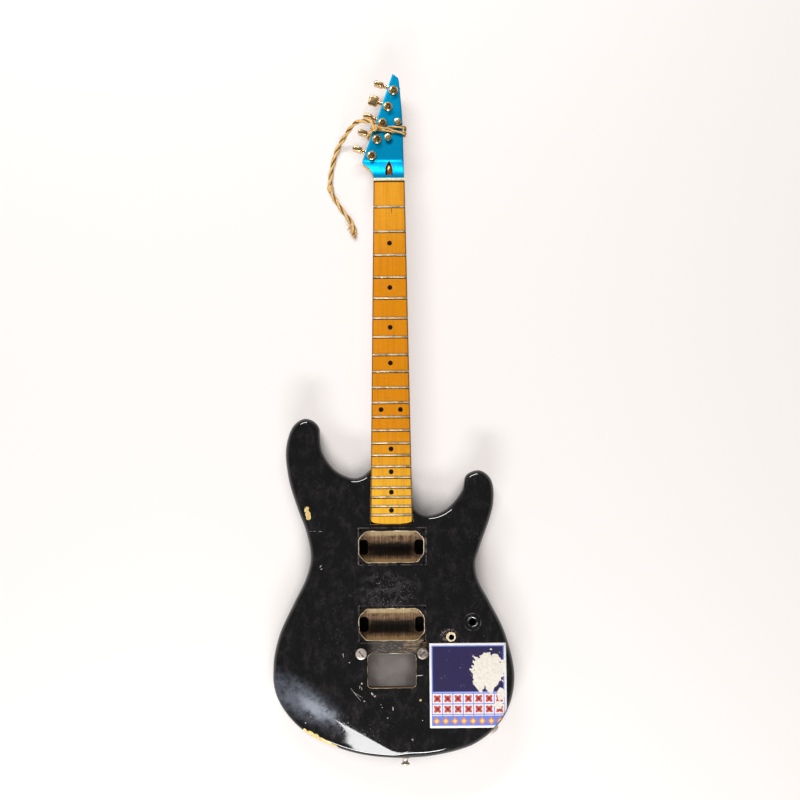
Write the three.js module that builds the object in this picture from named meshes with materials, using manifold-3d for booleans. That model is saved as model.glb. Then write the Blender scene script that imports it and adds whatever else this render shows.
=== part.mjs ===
// Broken electric guitar lying on its back. The pickups, bridge, controls and strings are gone, the
// headstock has lost its tip and one of its tuners, and a length of twine is tied round it.
// Millimetres, +Z up. The neck's centre line is x = 0, the nut's fret side is y = 0 and the body's
// back is z = 0, until the last lines put the origin under the middle of the guitar.
import * as THREE from 'three';
import { mergeVertices } from 'three/addons/utils/BufferGeometryUtils.js';
import Module from 'manifold-3d';

const wasm = await Module();
wasm.setup();

// Clearances
const seatGap = 0.3; // a piece in its seat, recess or hole
const glueGap = 0.05; // a fret, a nut or a sticker on the face that carries it
const runGap = 0.25; // radial, round a shaft that turns
const overrun = 1; // how far a cutting tool stands out of the face it enters

// Body
const bodyThickness = 44.5;
const edgeRadius = 10; // round-over of the rim
const heelEdgeRadius = 3; // smaller round-over on the back, beside the neck plate
const heelEdgeReach = [42, 78]; // where it starts to grow and where it is full, from the plate's middle
const edgeSteps = 2;
const outlineSteps = 100;
const pocketDepth = 16;
const armContourDepth = 13; // drop of the top at the rim, under the player's forearm
const armContourWidth = 46;
const armContourAim = new THREE.Vector2(-0.543, -0.84).normalize(); // from the bridge to the rim

// Routs in the top, all on one centre line
const routCentreX = -0.8;
const pickupRout = { length: 86.5, width: 41.5, depth: 17, sideFlat: 20, endFlat: 68 };
const legRout = { length: 12, width: 28, depth: 25 };
const neckPickupSetback = 30.5; // from the end of the neck pocket to the rout's middle
const bridgePickupLead = 38.5; // from the bridge studs to the rout's middle
const tremoloRout = { length: 64, width: 45, cornerRadius: 5 };
const springRout = { length: 56, width: 124, depth: 15, cornerRadius: 8 };
const volumeHole = { x: 106.6, y: -131, radius: 4.7 };
const toneHole = { x: 78.5, y: -151, radius: 3.7 };
const controlRout = { x: 93, y: -179.5, length: 62, width: 117, cornerRadius: 14, skin: 10 };
const coverLedge = 6;
const coverThickness = 2.5;

// Neck
const scaleLength = 647.7;
const fretCount = 21;
const boardTail = 12; // board past the last fret
const nutWidth = 42.5;
const heelWidth = 56.5;
const heelCorner = 4.5;
const heelLength = 74;
const cornerShares = [0, 0.15, 0.45, 1]; // stations round the board's corner
const boardRadius = 241; // crown across the fingerboard
const boardSide = 5.5;
const blankThickness = 25.4; // at the heel
const neckThicknessAtNut = 21;
const neckThicknessAtHeel = 23.2;
const voluteLength = 40;
const crownSteps = 4;
const backSteps = 11;
const backFullness = 0.8; // 1 is an ellipse, less is squarer
const fretWire = { width: 2.7, height: 1.2, shoulderWidth: 2.16, shoulder: 0.78 };
const fretTang = { width: 0.5, depth: 1.5 };
const nutSize = { thickness: 3.5, height: 2, depth: 3, endDrop: 0.8 };
const stringSlot = { count: 6, spacing: 7, depth: 1, width: 1 };
const trussRod = { radius: 3, drop: 11.5, heelMargin: 25 };
const trussNut = { radius: 4, tipRadius: 2.4, start: 9, shoulder: 18, end: 23 };
const trussSlot = { start: 8.5, shoulder: 16, bulge: 25, bulgeHalf: 4, end: 30, halfWidth: 5, depth: 16.5 };

// Headstock
const headDrop = 10.5; // face below the fingerboard
const headThickness = 14.5;
const rampStart = 1.5; // behind the nut
const rampEnd = 28;
const rampBow = { y: 5, rise: 0.8, lip: 0.4 }; // hollow of the ramp

// Tuners
const tunerCount = 5; // of six
const lastPost = new THREE.Vector2(-23.7, 37.5); // nearest the nut
const tunerPitch = 24.2;
const tunerLineAngle = THREE.MathUtils.degToRad(71.75);
const postRadius = 3;
const postRise = 11; // above the face
const postWaist = { radius: 2.4, start: 5.5, low: 4.5, high: 2.5, end: 1.5, tipRadius: 2.55 }; // from the top
const stringHoleRadius = 0.9;
const bushing = { wall: 1.35, flange: 2, flangeHeight: 1.4, height: 3.6, bevel: 1.2, tail: 1 };
const gear = { rim: 1.8, thickness: 5 };
const shaftRadius = 2.1;
const shaftDrop = 5.5; // shaft axis below the headstock's back
const housingWall = 1.6;
const housingDepth = 11.2;
const housingCorner = 1;
const bossWall = 1.12;
const button = { start: 16.5, length: 14, width: 15, thickness: 7.5, bevel: 2.1 };
const collar = { start: 12.3, grow: 0.9, endGrow: 0.5, bite: 1 };
const buttonTurns = [90, 90, 90, 0, 90]; // degrees each button was left at, from the nut outwards

// Hardware
const tree = { radius: 5, neckRadius: 2.6, topRadius: 3.6, height: 6, pinRadius: 1.4, pinDepth: 9 };
const treeCap = { under: 2.6, low: 2.2, high: 0.9 }; // below the top
const treePlaces = [[12.2, 84.3], [-1.1, 62.4]];
const studSpacing = 81.5;
const stud = { headRadius: 6.5, headHeight: 3.5, chamfer: 1, waistRadius: 4.8, waistHeight: 2.5 };
const studThread = { radius: 4, depth: 24 };
const studSlot = { width: 1.8, depth: 1.5 };
const bridgeInset = 8.5; // studs ahead of the scale's end
const strapButton = { x: 16, baseRadius: 6, neckRadius: 3.6, rimRadius: 5.8, tipRadius: 5, length: 10.5 };
const strapWaist = { base: 1.6, low: 3.4, high: 7.3, rim: 8.9 }; // heights on the strap button
const strapScrew = { radius: 2.2, depth: 22 };
const jack = { nutRadius: 6.5, proud: 4.5, barrelRadius: 4.8, barrelDepth: 32 };
const jackWasher = { radius: 8.8, thickness: 1.6 };
const jackSpotDepth = 1;
const jackBoreRadius = 3.3;
const jackAim = new THREE.Vector2(42, -98); // from the control rout's middle
const jackDrillDepth = 60;
const plate = { length: 44, width: 52, thickness: 2, cornerRadius: 6, centreY: 38 };
const neckScrew = { headRadius: 4.2, coreRadius: 2.3, tip: 3, spacingX: 32, spacingY: 38, bite: 13.5 };
const sticker = { left: 48.5, right: 150.5, top: -159, bottom: -270, thickness: 0.4 };

// Twine
const twineRadius = 2.3;
const twineSides = 8;
const knotRadius = 4.6;
const knotFlatness = 0.62;
const knotPlace = [-18, 76];
const tailKnotRadius = 3.6;
const tailKnotStretch = 1.5;
const tailKnotPlace = [-82, 1.6, 3.7];

// Places that follow from these sizes
const fretY = (n) => -scaleLength * (1 - 2 ** (-n / 12));
const heelEnd = fretY(fretCount) - boardTail;
const pocketFloor = bodyThickness - pocketDepth;
const boardTop = pocketFloor + seatGap + blankThickness;
const bridgeY = -(scaleLength - bridgeInset) - heelEnd; // in the body's own frame
const headFace = -headDrop;
const headBack = headFace - headThickness;
const screwReach = pocketFloor + neckScrew.bite;
const gearRadius = postRadius + gear.rim;
const wormOffset = gearRadius + shaftRadius + seatGap;
const sleeveRadius = postRadius + runGap + bushing.wall;
const postHole = sleeveRadius + seatGap;
const lostPosts = stringSlot.count - tunerCount;
const halfWidth = (y) => THREE.MathUtils.lerp(nutWidth, heelWidth, y / heelEnd) / 2;
const crown = (x) => -(x * x) / (2 * boardRadius);

// The body's outline, from the left horn down and round, in the body's frame: y = 0 is the end of
// the neck pocket.
const outlinePoints = [
  [-118, 143.2], [-132.5, 133], [-142, 103], [-138.5, 62], [-126.5, 22], [-114.5, -11], [-109, -45],
  [-115.5, -72], [-131, -103.5], [-151, -147], [-159, -188], [-154, -229], [-122, -271], [-60, -300],
  [0, -308.5], [60, -305], [112, -289], [148, -255], [162, -207], [151, -148], [130.5, -104.5],
  [115.5, -75], [112.2, -53], [118, -32], [137.2, 28], [134, 60], [119, 71.7], [101, 65.5], [95, 45],
  [72, 19], [48, 12.2], [32, 21], [27.5, 39], [26.5, 62], [17, 77.5], [0, 80.5], [-18, 79], [-30, 72.5],
  [-37.5, 66], [-51, 62.5], [-75, 73.2], [-92.5, 98], [-95.8, 120], [-97, 131], [-105, 140.2],
];

// Colours
const black = { color: 0x1b1a1b, roughness: 0.28, metalness: 0 };
const maple = { color: 0xe8980f, roughness: 0.32, metalness: 0 };
const nickel = { color: 0xc9c4bb, roughness: 0.32, metalness: 1 };
const gold = { color: 0xc99a5a, roughness: 0.3, metalness: 1 };
const brass = { color: 0xb0803f, roughness: 0.4, metalness: 1 };
const steel = { color: 0x9a948c, roughness: 0.45, metalness: 1 };
const bone = { color: 0xeeebcb, roughness: 0.45, metalness: 0 };
const plastic = { color: 0x1e1e1f, roughness: 0.5, metalness: 0 };
const paper = { color: 0xf4efe6, roughness: 0.6, metalness: 0 };
const sisal = { color: 0xc2985a, roughness: 0.9, metalness: 0 };

const X = new THREE.Vector3(1, 0, 0);
const Y = new THREE.Vector3(0, 1, 0);
const Z = new THREE.Vector3(0, 0, 1);

// Solids and meshes
function solid(geometry) {
  const bare = geometry.clone();
  for (const name of Object.keys(bare.attributes)) {
    if (name !== 'position') {
      bare.deleteAttribute(name);
    }
  }
  const merged = mergeVertices(bare, 1e-4);
  const vertProperties = new Float32Array(merged.attributes.position.array);
  const triVerts = new Uint32Array(merged.index.array);
  return new wasm.Manifold(new wasm.Mesh({ numProp: 3, vertProperties, triVerts }));
}

function surface(manifold) {
  const { vertProperties, triVerts } = manifold.getMesh();
  const geometry = new THREE.BufferGeometry();
  geometry.setAttribute('position', new THREE.BufferAttribute(vertProperties, 3));
  geometry.setIndex(new THREE.BufferAttribute(triVerts, 1));
  geometry.computeVertexNormals();
  return geometry;
}

const join = (first, ...rest) => rest.reduce((sum, other) => sum.add(other), first);
const cut = (first, ...rest) => rest.reduce((left, other) => left.subtract(other), first);

function mesh(name, shape, finish) {
  const geometry = shape.isBufferGeometry ? shape : surface(shape);
  const piece = new THREE.Mesh(geometry, new THREE.MeshStandardMaterial(finish));
  piece.name = name;
  return piece;
}

// A closed skin through rings of equal length, with a flat cap at each end.
function loft(rings, flat) {
  const count = rings[0].length;
  const index = [];
  for (let r = 0; r + 1 < rings.length; r += 1) {
    for (let i = 0; i < count; i += 1) {
      const j = (i + 1) % count;
      const low = r * count;
      const high = low + count;
      index.push(low + i, low + j, high + j, low + i, high + j, high + i);
    }
  }
  const last = (rings.length - 1) * count;
  for (const [a, b, c] of THREE.ShapeUtils.triangulateShape(rings[0].map(flat), [])) {
    index.push(c, b, a);
  }
  for (const [a, b, c] of THREE.ShapeUtils.triangulateShape(rings[rings.length - 1].map(flat), [])) {
    index.push(last + a, last + b, last + c);
  }
  const geometry = new THREE.BufferGeometry();
  geometry.setFromPoints(rings.flat());
  geometry.setIndex(index);
  return geometry;
}

const extrude = (shape, depth, curveSegments) =>
  new THREE.ExtrudeGeometry(shape, { depth, bevelEnabled: false, curveSegments });

// A prism that stands on z = low and is drawn in x and y.
const prism = (shape, low, high, curveSegments = 4) =>
  solid(extrude(shape, high - low, curveSegments).translate(0, 0, low));

// A solid of revolution about the z axis, from [radius, z] pairs.
function turned(profile, segments = 16) {
  const points = profile.map(([radius, z]) => new THREE.Vector2(radius, z));
  return new THREE.LatheGeometry(points, segments).rotateX(Math.PI / 2);
}

const rod = (radius, low, high, segments = 16) =>
  turned([[0, low], [radius, low], [radius, high], [0, high]], segments);

// The same, about a line through a point.
function turnedAlong(geometry, direction, point) {
  const spin = new THREE.Quaternion().setFromUnitVectors(Z, direction.clone().normalize());
  return geometry.applyQuaternion(spin).translate(point.x, point.y, point.z);
}

function polygon(points) {
  return new THREE.Shape(points.map(([x, y]) => new THREE.Vector2(x, y)));
}

function roundedRectangle(x, y, length, width, radius) {
  const shape = new THREE.Shape();
  const dx = length / 2 - radius;
  const dy = width / 2 - radius;
  shape.absarc(x + dx, y + dy, radius, 0, Math.PI / 2);
  shape.absarc(x - dx, y + dy, radius, Math.PI / 2, Math.PI);
  shape.absarc(x - dx, y - dy, radius, Math.PI, 1.5 * Math.PI);
  shape.absarc(x + dx, y - dy, radius, 1.5 * Math.PI, 2 * Math.PI);
  return shape;
}

const block = (length, width, height, x, y, z) =>
  solid(new THREE.BoxGeometry(length, width, height).translate(x, y, z));

// Body outline and rim
const outlineCurve = new THREE.CatmullRomCurve3(
  outlinePoints.map(([x, y]) => new THREE.Vector3(x, y, 0)), true, 'centripetal');
const outline = outlineCurve.getSpacedPoints(outlineSteps).slice(0, outlineSteps);

function inward(i) {
  const before = outline[(i + outlineSteps - 1) % outlineSteps];
  const after = outline[(i + 1) % outlineSteps];
  return new THREE.Vector3().subVectors(after, before).cross(Z).negate().normalize();
}

const insetRing = (inset, z) => outline.map((p, i) => {
  const step = inset(p);
  return p.clone().addScaledVector(inward(i), step.distance).setZ(z + step.rise);
});

// Round-over of the back: small at the heel, growing to the full size past it.
function backRadius(p) {
  const away = Math.hypot(p.x, p.y - plate.centreY);
  const blend = THREE.MathUtils.smoothstep(away, ...heelEdgeReach);
  return THREE.MathUtils.lerp(heelEdgeRadius, edgeRadius, blend);
}

function bodyBlank() {
  const rings = [];
  for (let k = 0; k <= edgeSteps; k += 1) {
    const angle = (k / edgeSteps) * Math.PI / 2;
    rings.push(insetRing((p) => ({
      distance: backRadius(p) * (1 - Math.sin(angle)),
      rise: backRadius(p) * (1 - Math.cos(angle)),
    }), 0));
  }
  for (let k = edgeSteps; k >= 0; k -= 1) {
    const angle = (k / edgeSteps) * Math.PI / 2;
    const distance = edgeRadius * (1 - Math.sin(angle));
    const rise = -edgeRadius * (1 - Math.cos(angle));
    rings.push(insetRing(() => ({ distance, rise }), bodyThickness));
  }
  return solid(loft(rings, (p) => new THREE.Vector2(p.x, p.y)));
}

// Where a ray drawn on the body's plan leaves the outline, and the way out there.
function rimHit(from, aim) {
  let best = null;
  outline.forEach((p, i) => {
    const q = outline[(i + 1) % outlineSteps];
    const side = new THREE.Vector2(q.x - p.x, q.y - p.y);
    const cross = aim.x * side.y - aim.y * side.x;
    const along = ((p.x - from.x) * side.y - (p.y - from.y) * side.x) / cross;
    const share = ((p.x - from.x) * aim.y - (p.y - from.y) * aim.x) / cross;
    if (along > 0 && share >= 0 && share < 1 && (!best || along > best.along)) {
      const point = new THREE.Vector3(from.x + along * aim.x, from.y + along * aim.y, bodyThickness / 2);
      best = { along, point, out: new THREE.Vector3(side.y, -side.x, 0).normalize() };
    }
  });
  return best;
}

const strapSeat = rimHit(new THREE.Vector2(strapButton.x, 0), new THREE.Vector2(0, -1));
const jackSeat = rimHit(new THREE.Vector2(controlRout.x, controlRout.y), jackAim);

// Plane that takes the forearm contour off the top's lower left edge.
function armContour() {
  const out = new THREE.Vector3(armContourAim.x, armContourAim.y, 0);
  const rim = rimHit(new THREE.Vector2(routCentreX, bridgeY), armContourAim);
  const slope = Math.atan2(armContourDepth, armContourWidth);
  const size = bodyThickness * 4;
  const tool = new THREE.BoxGeometry(size * 4, size, size).translate(0, size / 2, size / 2);
  const level = new THREE.Vector3().crossVectors(out, Z);
  const start = rim.point.clone().addScaledVector(out, -armContourWidth).setZ(bodyThickness);
  const down = out.clone().multiplyScalar(Math.cos(slope)).addScaledVector(Z, -Math.sin(slope));
  const turn = new THREE.Matrix4().makeBasis(level, down, new THREE.Vector3().crossVectors(level, down));
  return solid(tool.applyMatrix4(turn).translate(start.x, start.y, start.z));
}

function pickupCavity(y) {
  const { length, width, depth, sideFlat, endFlat } = pickupRout;
  const corners = [
    [length / 2, sideFlat / 2], [endFlat / 2, width / 2], [-endFlat / 2, width / 2],
    [-length / 2, sideFlat / 2], [-length / 2, -sideFlat / 2], [-endFlat / 2, -width / 2],
    [endFlat / 2, -width / 2], [length / 2, -sideFlat / 2],
  ].map(([x, dy]) => [x + routCentreX, dy + y]);
  const top = bodyThickness + overrun;
  const legX = (length - legRout.length) / 2;
  const leg = (side) => block(legRout.length - seatGap, Math.min(legRout.width, sideFlat),
    legRout.depth, routCentreX + side * legX, y, bodyThickness - legRout.depth / 2);
  return join(prism(polygon(corners), bodyThickness - depth, top), leg(-1), leg(1));
}

function neckPocket() {
  const end = -seatGap;
  const front = heelLength + edgeRadius * 2;
  const edge = (y) => halfWidth(y + heelEnd) + seatGap;
  const shape = polygon([[-edge(end), end], [edge(end), end], [edge(front), front], [-edge(front), front]]);
  return prism(shape, pocketFloor, bodyThickness + overrun);
}

const coverShape = (gap) => roundedRectangle(controlRout.x, controlRout.y,
  controlRout.length + 2 * (coverLedge - gap), controlRout.width + 2 * (coverLedge - gap),
  controlRout.cornerRadius + coverLedge - gap);
const plateShape = (gap) => roundedRectangle(0, plate.centreY, plate.length + 2 * gap,
  plate.width + 2 * gap, plate.cornerRadius + gap);
const screwPlaces = [[-1, -1], [1, -1], [-1, 1], [1, 1]].map(([sx, sy]) => new THREE.Vector3(
  sx * neckScrew.spacingX / 2, plate.centreY + sy * neckScrew.spacingY / 2, 0));
const studPlaces = [-1, 1].map((side) => new THREE.Vector3(
  routCentreX + side * studSpacing / 2, bridgeY, bodyThickness));

const at = (geometry, p) => geometry.translate(p.x, p.y, p.z);

function bodyPiece() {
  const { x, y, length, width, cornerRadius, skin } = controlRout;
  const controls = roundedRectangle(x, y, length, width, cornerRadius);
  const hole = ({ x: hx, y: hy, radius }) =>
    at(rod(radius, bodyThickness - skin - overrun, bodyThickness + overrun), new THREE.Vector3(hx, hy, 0));
  const tremoloY = bridgeY - tremoloRout.width / 2;
  const tremolo = roundedRectangle(routCentreX, tremoloY, tremoloRout.length, tremoloRout.width,
    tremoloRout.cornerRadius);
  const springY = bridgeY - tremoloRout.width + springRout.width / 2;
  const springs = roundedRectangle(routCentreX, springY, springRout.length, springRout.width,
    springRout.cornerRadius);
  const jackHole = rod(jack.barrelRadius + seatGap, -jackDrillDepth, overrun);
  const jackSpot = rod(jackWasher.radius + seatGap, -jackSpotDepth, jack.proud);
  const strapHole = rod(strapScrew.radius + seatGap, -strapScrew.depth - overrun, overrun);
  const screwHole = rod(neckScrew.coreRadius + seatGap, -overrun, bodyThickness, 12);
  const studHole = rod(studThread.radius + seatGap, -studThread.depth - overrun, overrun);
  return cut(
    bodyBlank(),
    armContour(),
    neckPocket(),
    pickupCavity(-neckPickupSetback),
    pickupCavity(bridgeY + bridgePickupLead),
    prism(tremolo, -overrun, bodyThickness + overrun),
    prism(springs, -overrun, springRout.depth),
    prism(controls, -overrun, bodyThickness - skin),
    prism(coverShape(0), -overrun, coverThickness + 2 * seatGap),
    solid(hole(volumeHole)),
    solid(hole(toneHole)),
    prism(plateShape(seatGap), -overrun, plate.thickness + 2 * seatGap),
    ...screwPlaces.map((p) => solid(at(screwHole.clone(), p))),
    ...studPlaces.map((p) => solid(at(studHole.clone(), p))),
    solid(turnedAlong(jackHole, jackSeat.out, jackSeat.point)),
    solid(turnedAlong(jackSpot, jackSeat.out, jackSeat.point)),
    solid(turnedAlong(strapHole, strapSeat.out, strapSeat.point)),
  );
}

function studPiece(name, place) {
  const { headRadius, headHeight, chamfer, waistRadius, waistHeight } = stud;
  const top = seatGap + waistHeight + headHeight;
  const profile = [
    [0, -studThread.depth], [studThread.radius, -studThread.depth], [studThread.radius, seatGap],
    [waistRadius, seatGap], [waistRadius, seatGap + waistHeight], [headRadius, seatGap + waistHeight],
    [headRadius, top - chamfer], [headRadius - chamfer, top], [0, top],
  ];
  const slot = block(2 * (headRadius + overrun), studSlot.width, studSlot.depth * 2, 0, 0, top);
  const piece = mesh(name, cut(solid(turned(profile, 16)), slot), steel);
  piece.position.copy(place);
  return piece;
}

function strapButtonPiece() {
  const { baseRadius, neckRadius, rimRadius, tipRadius, length } = strapButton;
  const { base, low, high, rim } = strapWaist;
  const profile = [
    [0, -strapScrew.depth], [strapScrew.radius, -strapScrew.depth], [strapScrew.radius, seatGap],
    [baseRadius, seatGap], [baseRadius, base], [neckRadius, low], [neckRadius, high], [rimRadius, rim],
    [tipRadius, length], [0, length],
  ];
  const geometry = turnedAlong(turned(profile, 16), strapSeat.out, strapSeat.point);
  return mesh('strap_button', geometry, steel);
}

function jackPiece() {
  const { nutRadius, proud, barrelRadius, barrelDepth } = jack;
  const floor = seatGap - jackSpotDepth;
  const washerTop = floor + jackWasher.thickness;
  const profile = [
    [0, -barrelDepth], [barrelRadius, -barrelDepth], [barrelRadius, floor], [jackWasher.radius, floor],
    [jackWasher.radius, washerTop], [nutRadius, washerTop], [nutRadius, proud], [jackBoreRadius, proud],
    [jackBoreRadius, proud - barrelDepth], [0, proud - barrelDepth],
  ];
  const geometry = turnedAlong(turned(profile, 18), jackSeat.out, jackSeat.point);
  return mesh('output_jack', geometry, steel);
}

// Four countersunk holes take the neck screws.
function platePiece() {
  const blank = prism(plateShape(0), seatGap, plate.thickness + seatGap);
  const head = neckScrew.headRadius + seatGap;
  const core = neckScrew.coreRadius + seatGap;
  const top = 2 * plate.thickness;
  const seat = [
    [0, -overrun], [head, -overrun], [head, 0], [core, plate.thickness + seatGap], [core, top], [0, top],
  ];
  return mesh('neck_plate', cut(blank, ...screwPlaces.map((p) => solid(at(turned(seat, 12), p)))), nickel);
}

function screwPiece(name, place) {
  const { headRadius, coreRadius, tip } = neckScrew;
  const profile = [
    [0, seatGap], [headRadius, seatGap], [coreRadius, plate.thickness], [coreRadius, screwReach - tip],
    [0, screwReach],
  ];
  const piece = mesh(name, turned(profile, 12), steel);
  piece.position.copy(place);
  return piece;
}

function coverPiece() {
  return mesh('control_cover', prism(coverShape(seatGap), seatGap, coverThickness + seatGap), plastic);
}

// The sticker keeps to the flat of the top.
function stickerPiece() {
  const low = bodyThickness + glueGap;
  const { left, right, top, bottom, thickness } = sticker;
  const sheet = polygon([[left, bottom], [right, bottom], [right, top], [left, top]]);
  const flat = insetRing(() => ({ distance: edgeRadius, rise: 0 }), 0);
  const bounds = polygon(flat.map((p) => [p.x, p.y]));
  const limit = prism(bounds, low - overrun, low + thickness + overrun);
  const piece = prism(sheet, low, low + thickness).intersect(limit);
  return mesh('sticker', piece, paper);
}

// Neck, in a frame whose z = 0 is the top of the fingerboard at its middle
function neckThickness(y) {
  const plain = THREE.MathUtils.lerp(neckThicknessAtNut, neckThicknessAtHeel, y / heelEnd);
  const blend = 1 - THREE.MathUtils.smoothstep(-y, 0, voluteLength);
  return THREE.MathUtils.lerp(plain, -headBack, blend);
}

// Half width with the corners of the board's end rounded.
function boardHalfWidth(y) {
  const fromEnd = Math.min(y - heelEnd, heelCorner);
  return halfWidth(y) - heelCorner + Math.sqrt(heelCorner ** 2 - (heelCorner - fromEnd) ** 2);
}

function neckRing(y) {
  const half = boardHalfWidth(y);
  const ring = [];
  for (let i = 0; i <= crownSteps; i += 1) {
    const x = half * (2 * i / crownSteps - 1);
    ring.push(new THREE.Vector3(x, y, crown(x)));
  }
  const side = -boardSide;
  const depth = neckThickness(y) - boardSide;
  for (let i = 0; i <= backSteps; i += 1) {
    const angle = (i / backSteps) * Math.PI;
    ring.push(new THREE.Vector3(half * Math.cos(angle), y, side - depth * Math.sin(angle) ** backFullness));
  }
  return ring;
}

function neckShaft() {
  const corner = cornerShares.map((share) => heelEnd + heelCorner * share);
  const volute = [1, 0.7, 0.35, 0].map((share) => -voluteLength * share);
  const stations = [...corner, heelEnd + heelLength, heelEnd / 2, ...volute];
  return solid(loft(stations.map(neckRing), (p) => new THREE.Vector2(p.z, p.x)));
}

function heelBlock() {
  const front = heelEnd + heelLength;
  const end = boardHalfWidth(heelEnd + heelCorner);
  const shape = new THREE.Shape();
  shape.moveTo(-halfWidth(front), front);
  shape.lineTo(-end, heelEnd + heelCorner);
  shape.quadraticCurveTo(-end, heelEnd, -end + heelCorner, heelEnd);
  shape.lineTo(end - heelCorner, heelEnd);
  shape.quadraticCurveTo(end, heelEnd, end, heelEnd + heelCorner);
  shape.lineTo(halfWidth(front), front);
  return prism(shape, -blankThickness, -boardSide);
}

// Posts stand on one line, counted from the nut.
const postPlace = (k) => lastPost.clone().add(
  new THREE.Vector2(Math.cos(tunerLineAngle), Math.sin(tunerLineAngle)).multiplyScalar(k * tunerPitch));

// A place on the headstock: so many tuner pitches along the line of posts, then out from it on the
// buttons' side.
function headPoint(pitches, out) {
  const post = postPlace(pitches);
  return [post.x - out * Math.sin(tunerLineAngle), post.y + out * Math.cos(tunerLineAngle)];
}

// Headstock plan: square to the nut, a swept shoulder, then straight sides to the broken tip, which
// has split at the lost tuner's hole.
function headShape() {
  const half = nutWidth / 2;
  const shape = new THREE.Shape();
  shape.moveTo(half, -overrun);
  shape.lineTo(half - 0.7, 5);
  shape.lineTo(...headPoint(1.89, -30.5));
  shape.quadraticCurveTo(...headPoint(3.19, -18.8), ...headPoint(4.6, -3.6));
  shape.lineTo(...headPoint(4.8, -0.7));
  shape.lineTo(...headPoint(4.855, 4.75));
  shape.lineTo(...headPoint(4.94, 8.5));
  shape.lineTo(...headPoint(4.605, 8.4));
  shape.lineTo(...headPoint(-0.33, 9.8));
  shape.quadraticCurveTo(-38.4, 27.4, -33, 23.2);
  shape.lineTo(-27.6, 18.6);
  shape.quadraticCurveTo(-23.4, 13.5, -half, 6);
  shape.lineTo(-half, -overrun);
  return shape;
}

// Everything over the headstock's face, with the hollow ramp down from the nut.
function faceTool() {
  const back = nutSize.thickness + glueGap;
  const reach = postPlace(tunerCount + 2 * lostPosts).y;
  const shape = new THREE.Shape();
  shape.moveTo(back, headDrop);
  shape.lineTo(back, -nutSize.depth);
  shape.lineTo(back + rampStart, -nutSize.depth - rampBow.lip);
  shape.quadraticCurveTo(back + rampStart + rampBow.y, headFace + rampBow.rise, rampEnd, headFace);
  shape.lineTo(reach, headFace);
  shape.lineTo(reach, headDrop);
  const width = nutWidth * 3;
  const swing = new THREE.Matrix4().makeBasis(Y, Z, X);
  return solid(extrude(shape, width, 6).translate(0, 0, -width / 2).applyMatrix4(swing));
}

function trussSlotTool() {
  const { start, shoulder, bulge, bulgeHalf, end, halfWidth: half, depth } = trussSlot;
  const shape = new THREE.Shape();
  shape.moveTo(-half, start);
  shape.lineTo(half, start);
  shape.lineTo(half, shoulder);
  shape.quadraticCurveTo(bulgeHalf, bulge, 0, end);
  shape.quadraticCurveTo(-bulgeHalf, bulge, -half, shoulder);
  return prism(shape, -depth, headDrop);
}

const rodStart = heelEnd + trussRod.heelMargin;
const rodLine = new THREE.Vector3(0, 0, -trussRod.drop);

function trussPiece() {
  const { radius, tipRadius, start, shoulder, end } = trussNut;
  const profile = [
    [0, rodStart], [trussRod.radius, rodStart], [trussRod.radius, start], [radius, start],
    [radius, shoulder], [tipRadius, end], [0, end],
  ];
  return mesh('truss_rod', turnedAlong(turned(profile, 12), Y, rodLine), brass);
}

// T-shaped wire across the board: a rounded bead on a tang.
function fretProfile(gap) {
  const { height, shoulder } = fretWire;
  const half = fretWire.width / 2;
  const top = fretWire.shoulderWidth / 2;
  const tang = fretTang.width / 2;
  return [
    [tang, -fretTang.depth], [tang, gap], [half, gap], [top, shoulder], [0, height],
    [-top, shoulder], [-half, gap], [-tang, gap], [-tang, -fretTang.depth],
  ];
}

function acrossBoard(profile, y, half) {
  const rings = [];
  for (let i = 0; i <= crownSteps; i += 1) {
    const x = half * (2 * i / crownSteps - 1);
    rings.push(profile.map(([dy, dz]) => new THREE.Vector3(x, y + dy, crown(x) + dz)));
  }
  return loft(rings, (p) => new THREE.Vector2(p.y, p.z));
}

function fretPiece(n) {
  const name = `fret_${String(n).padStart(2, '0')}`;
  return mesh(name, acrossBoard(fretProfile(glueGap), fretY(n), halfWidth(fretY(n))), nickel);
}

function fretSlot(n) {
  const half = fretTang.width / 2 + glueGap;
  const low = -fretTang.depth - 2 * glueGap;
  const profile = [[half, low], [half, fretWire.height], [-half, fretWire.height], [-half, low]];
  return solid(acrossBoard(profile, fretY(n), halfWidth(fretY(n)) + overrun));
}

function neckPiece() {
  const postHoles = Array.from({ length: tunerCount + lostPosts }, (_, k) => {
    const p = postPlace(k);
    return solid(rod(postHole, headBack - overrun, headFace + overrun).translate(p.x, p.y, 0));
  });
  const pinHoles = treePlaces.map(([x, y]) => solid(
    rod(tree.pinRadius + seatGap, headFace - tree.pinDepth - overrun, 0, 10).translate(x, y, 0)));
  const nutSeat = block(nutWidth * 2, nutSize.thickness + glueGap, nutSize.depth * 2,
    0, (nutSize.thickness + glueGap) / 2, 0);
  const rodChannel = rod(trussRod.radius + seatGap, rodStart - overrun, trussSlot.start + overrun, 12);
  const heelHoles = screwPlaces.map((p) => solid(rod(neckScrew.coreRadius + seatGap,
    -blankThickness - overrun, screwReach - boardTop + overrun, 12).translate(p.x, p.y + heelEnd, 0)));
  const frets = Array.from({ length: fretCount }, (_, i) => fretSlot(i + 1));
  return cut(
    join(neckShaft(), heelBlock(), prism(headShape(), headBack, 0)),
    faceTool(),
    nutSeat,
    trussSlotTool(),
    solid(turnedAlong(rodChannel, Y, rodLine)),
    ...postHoles,
    ...pinHoles,
    ...heelHoles,
    ...frets,
  );
}

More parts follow.
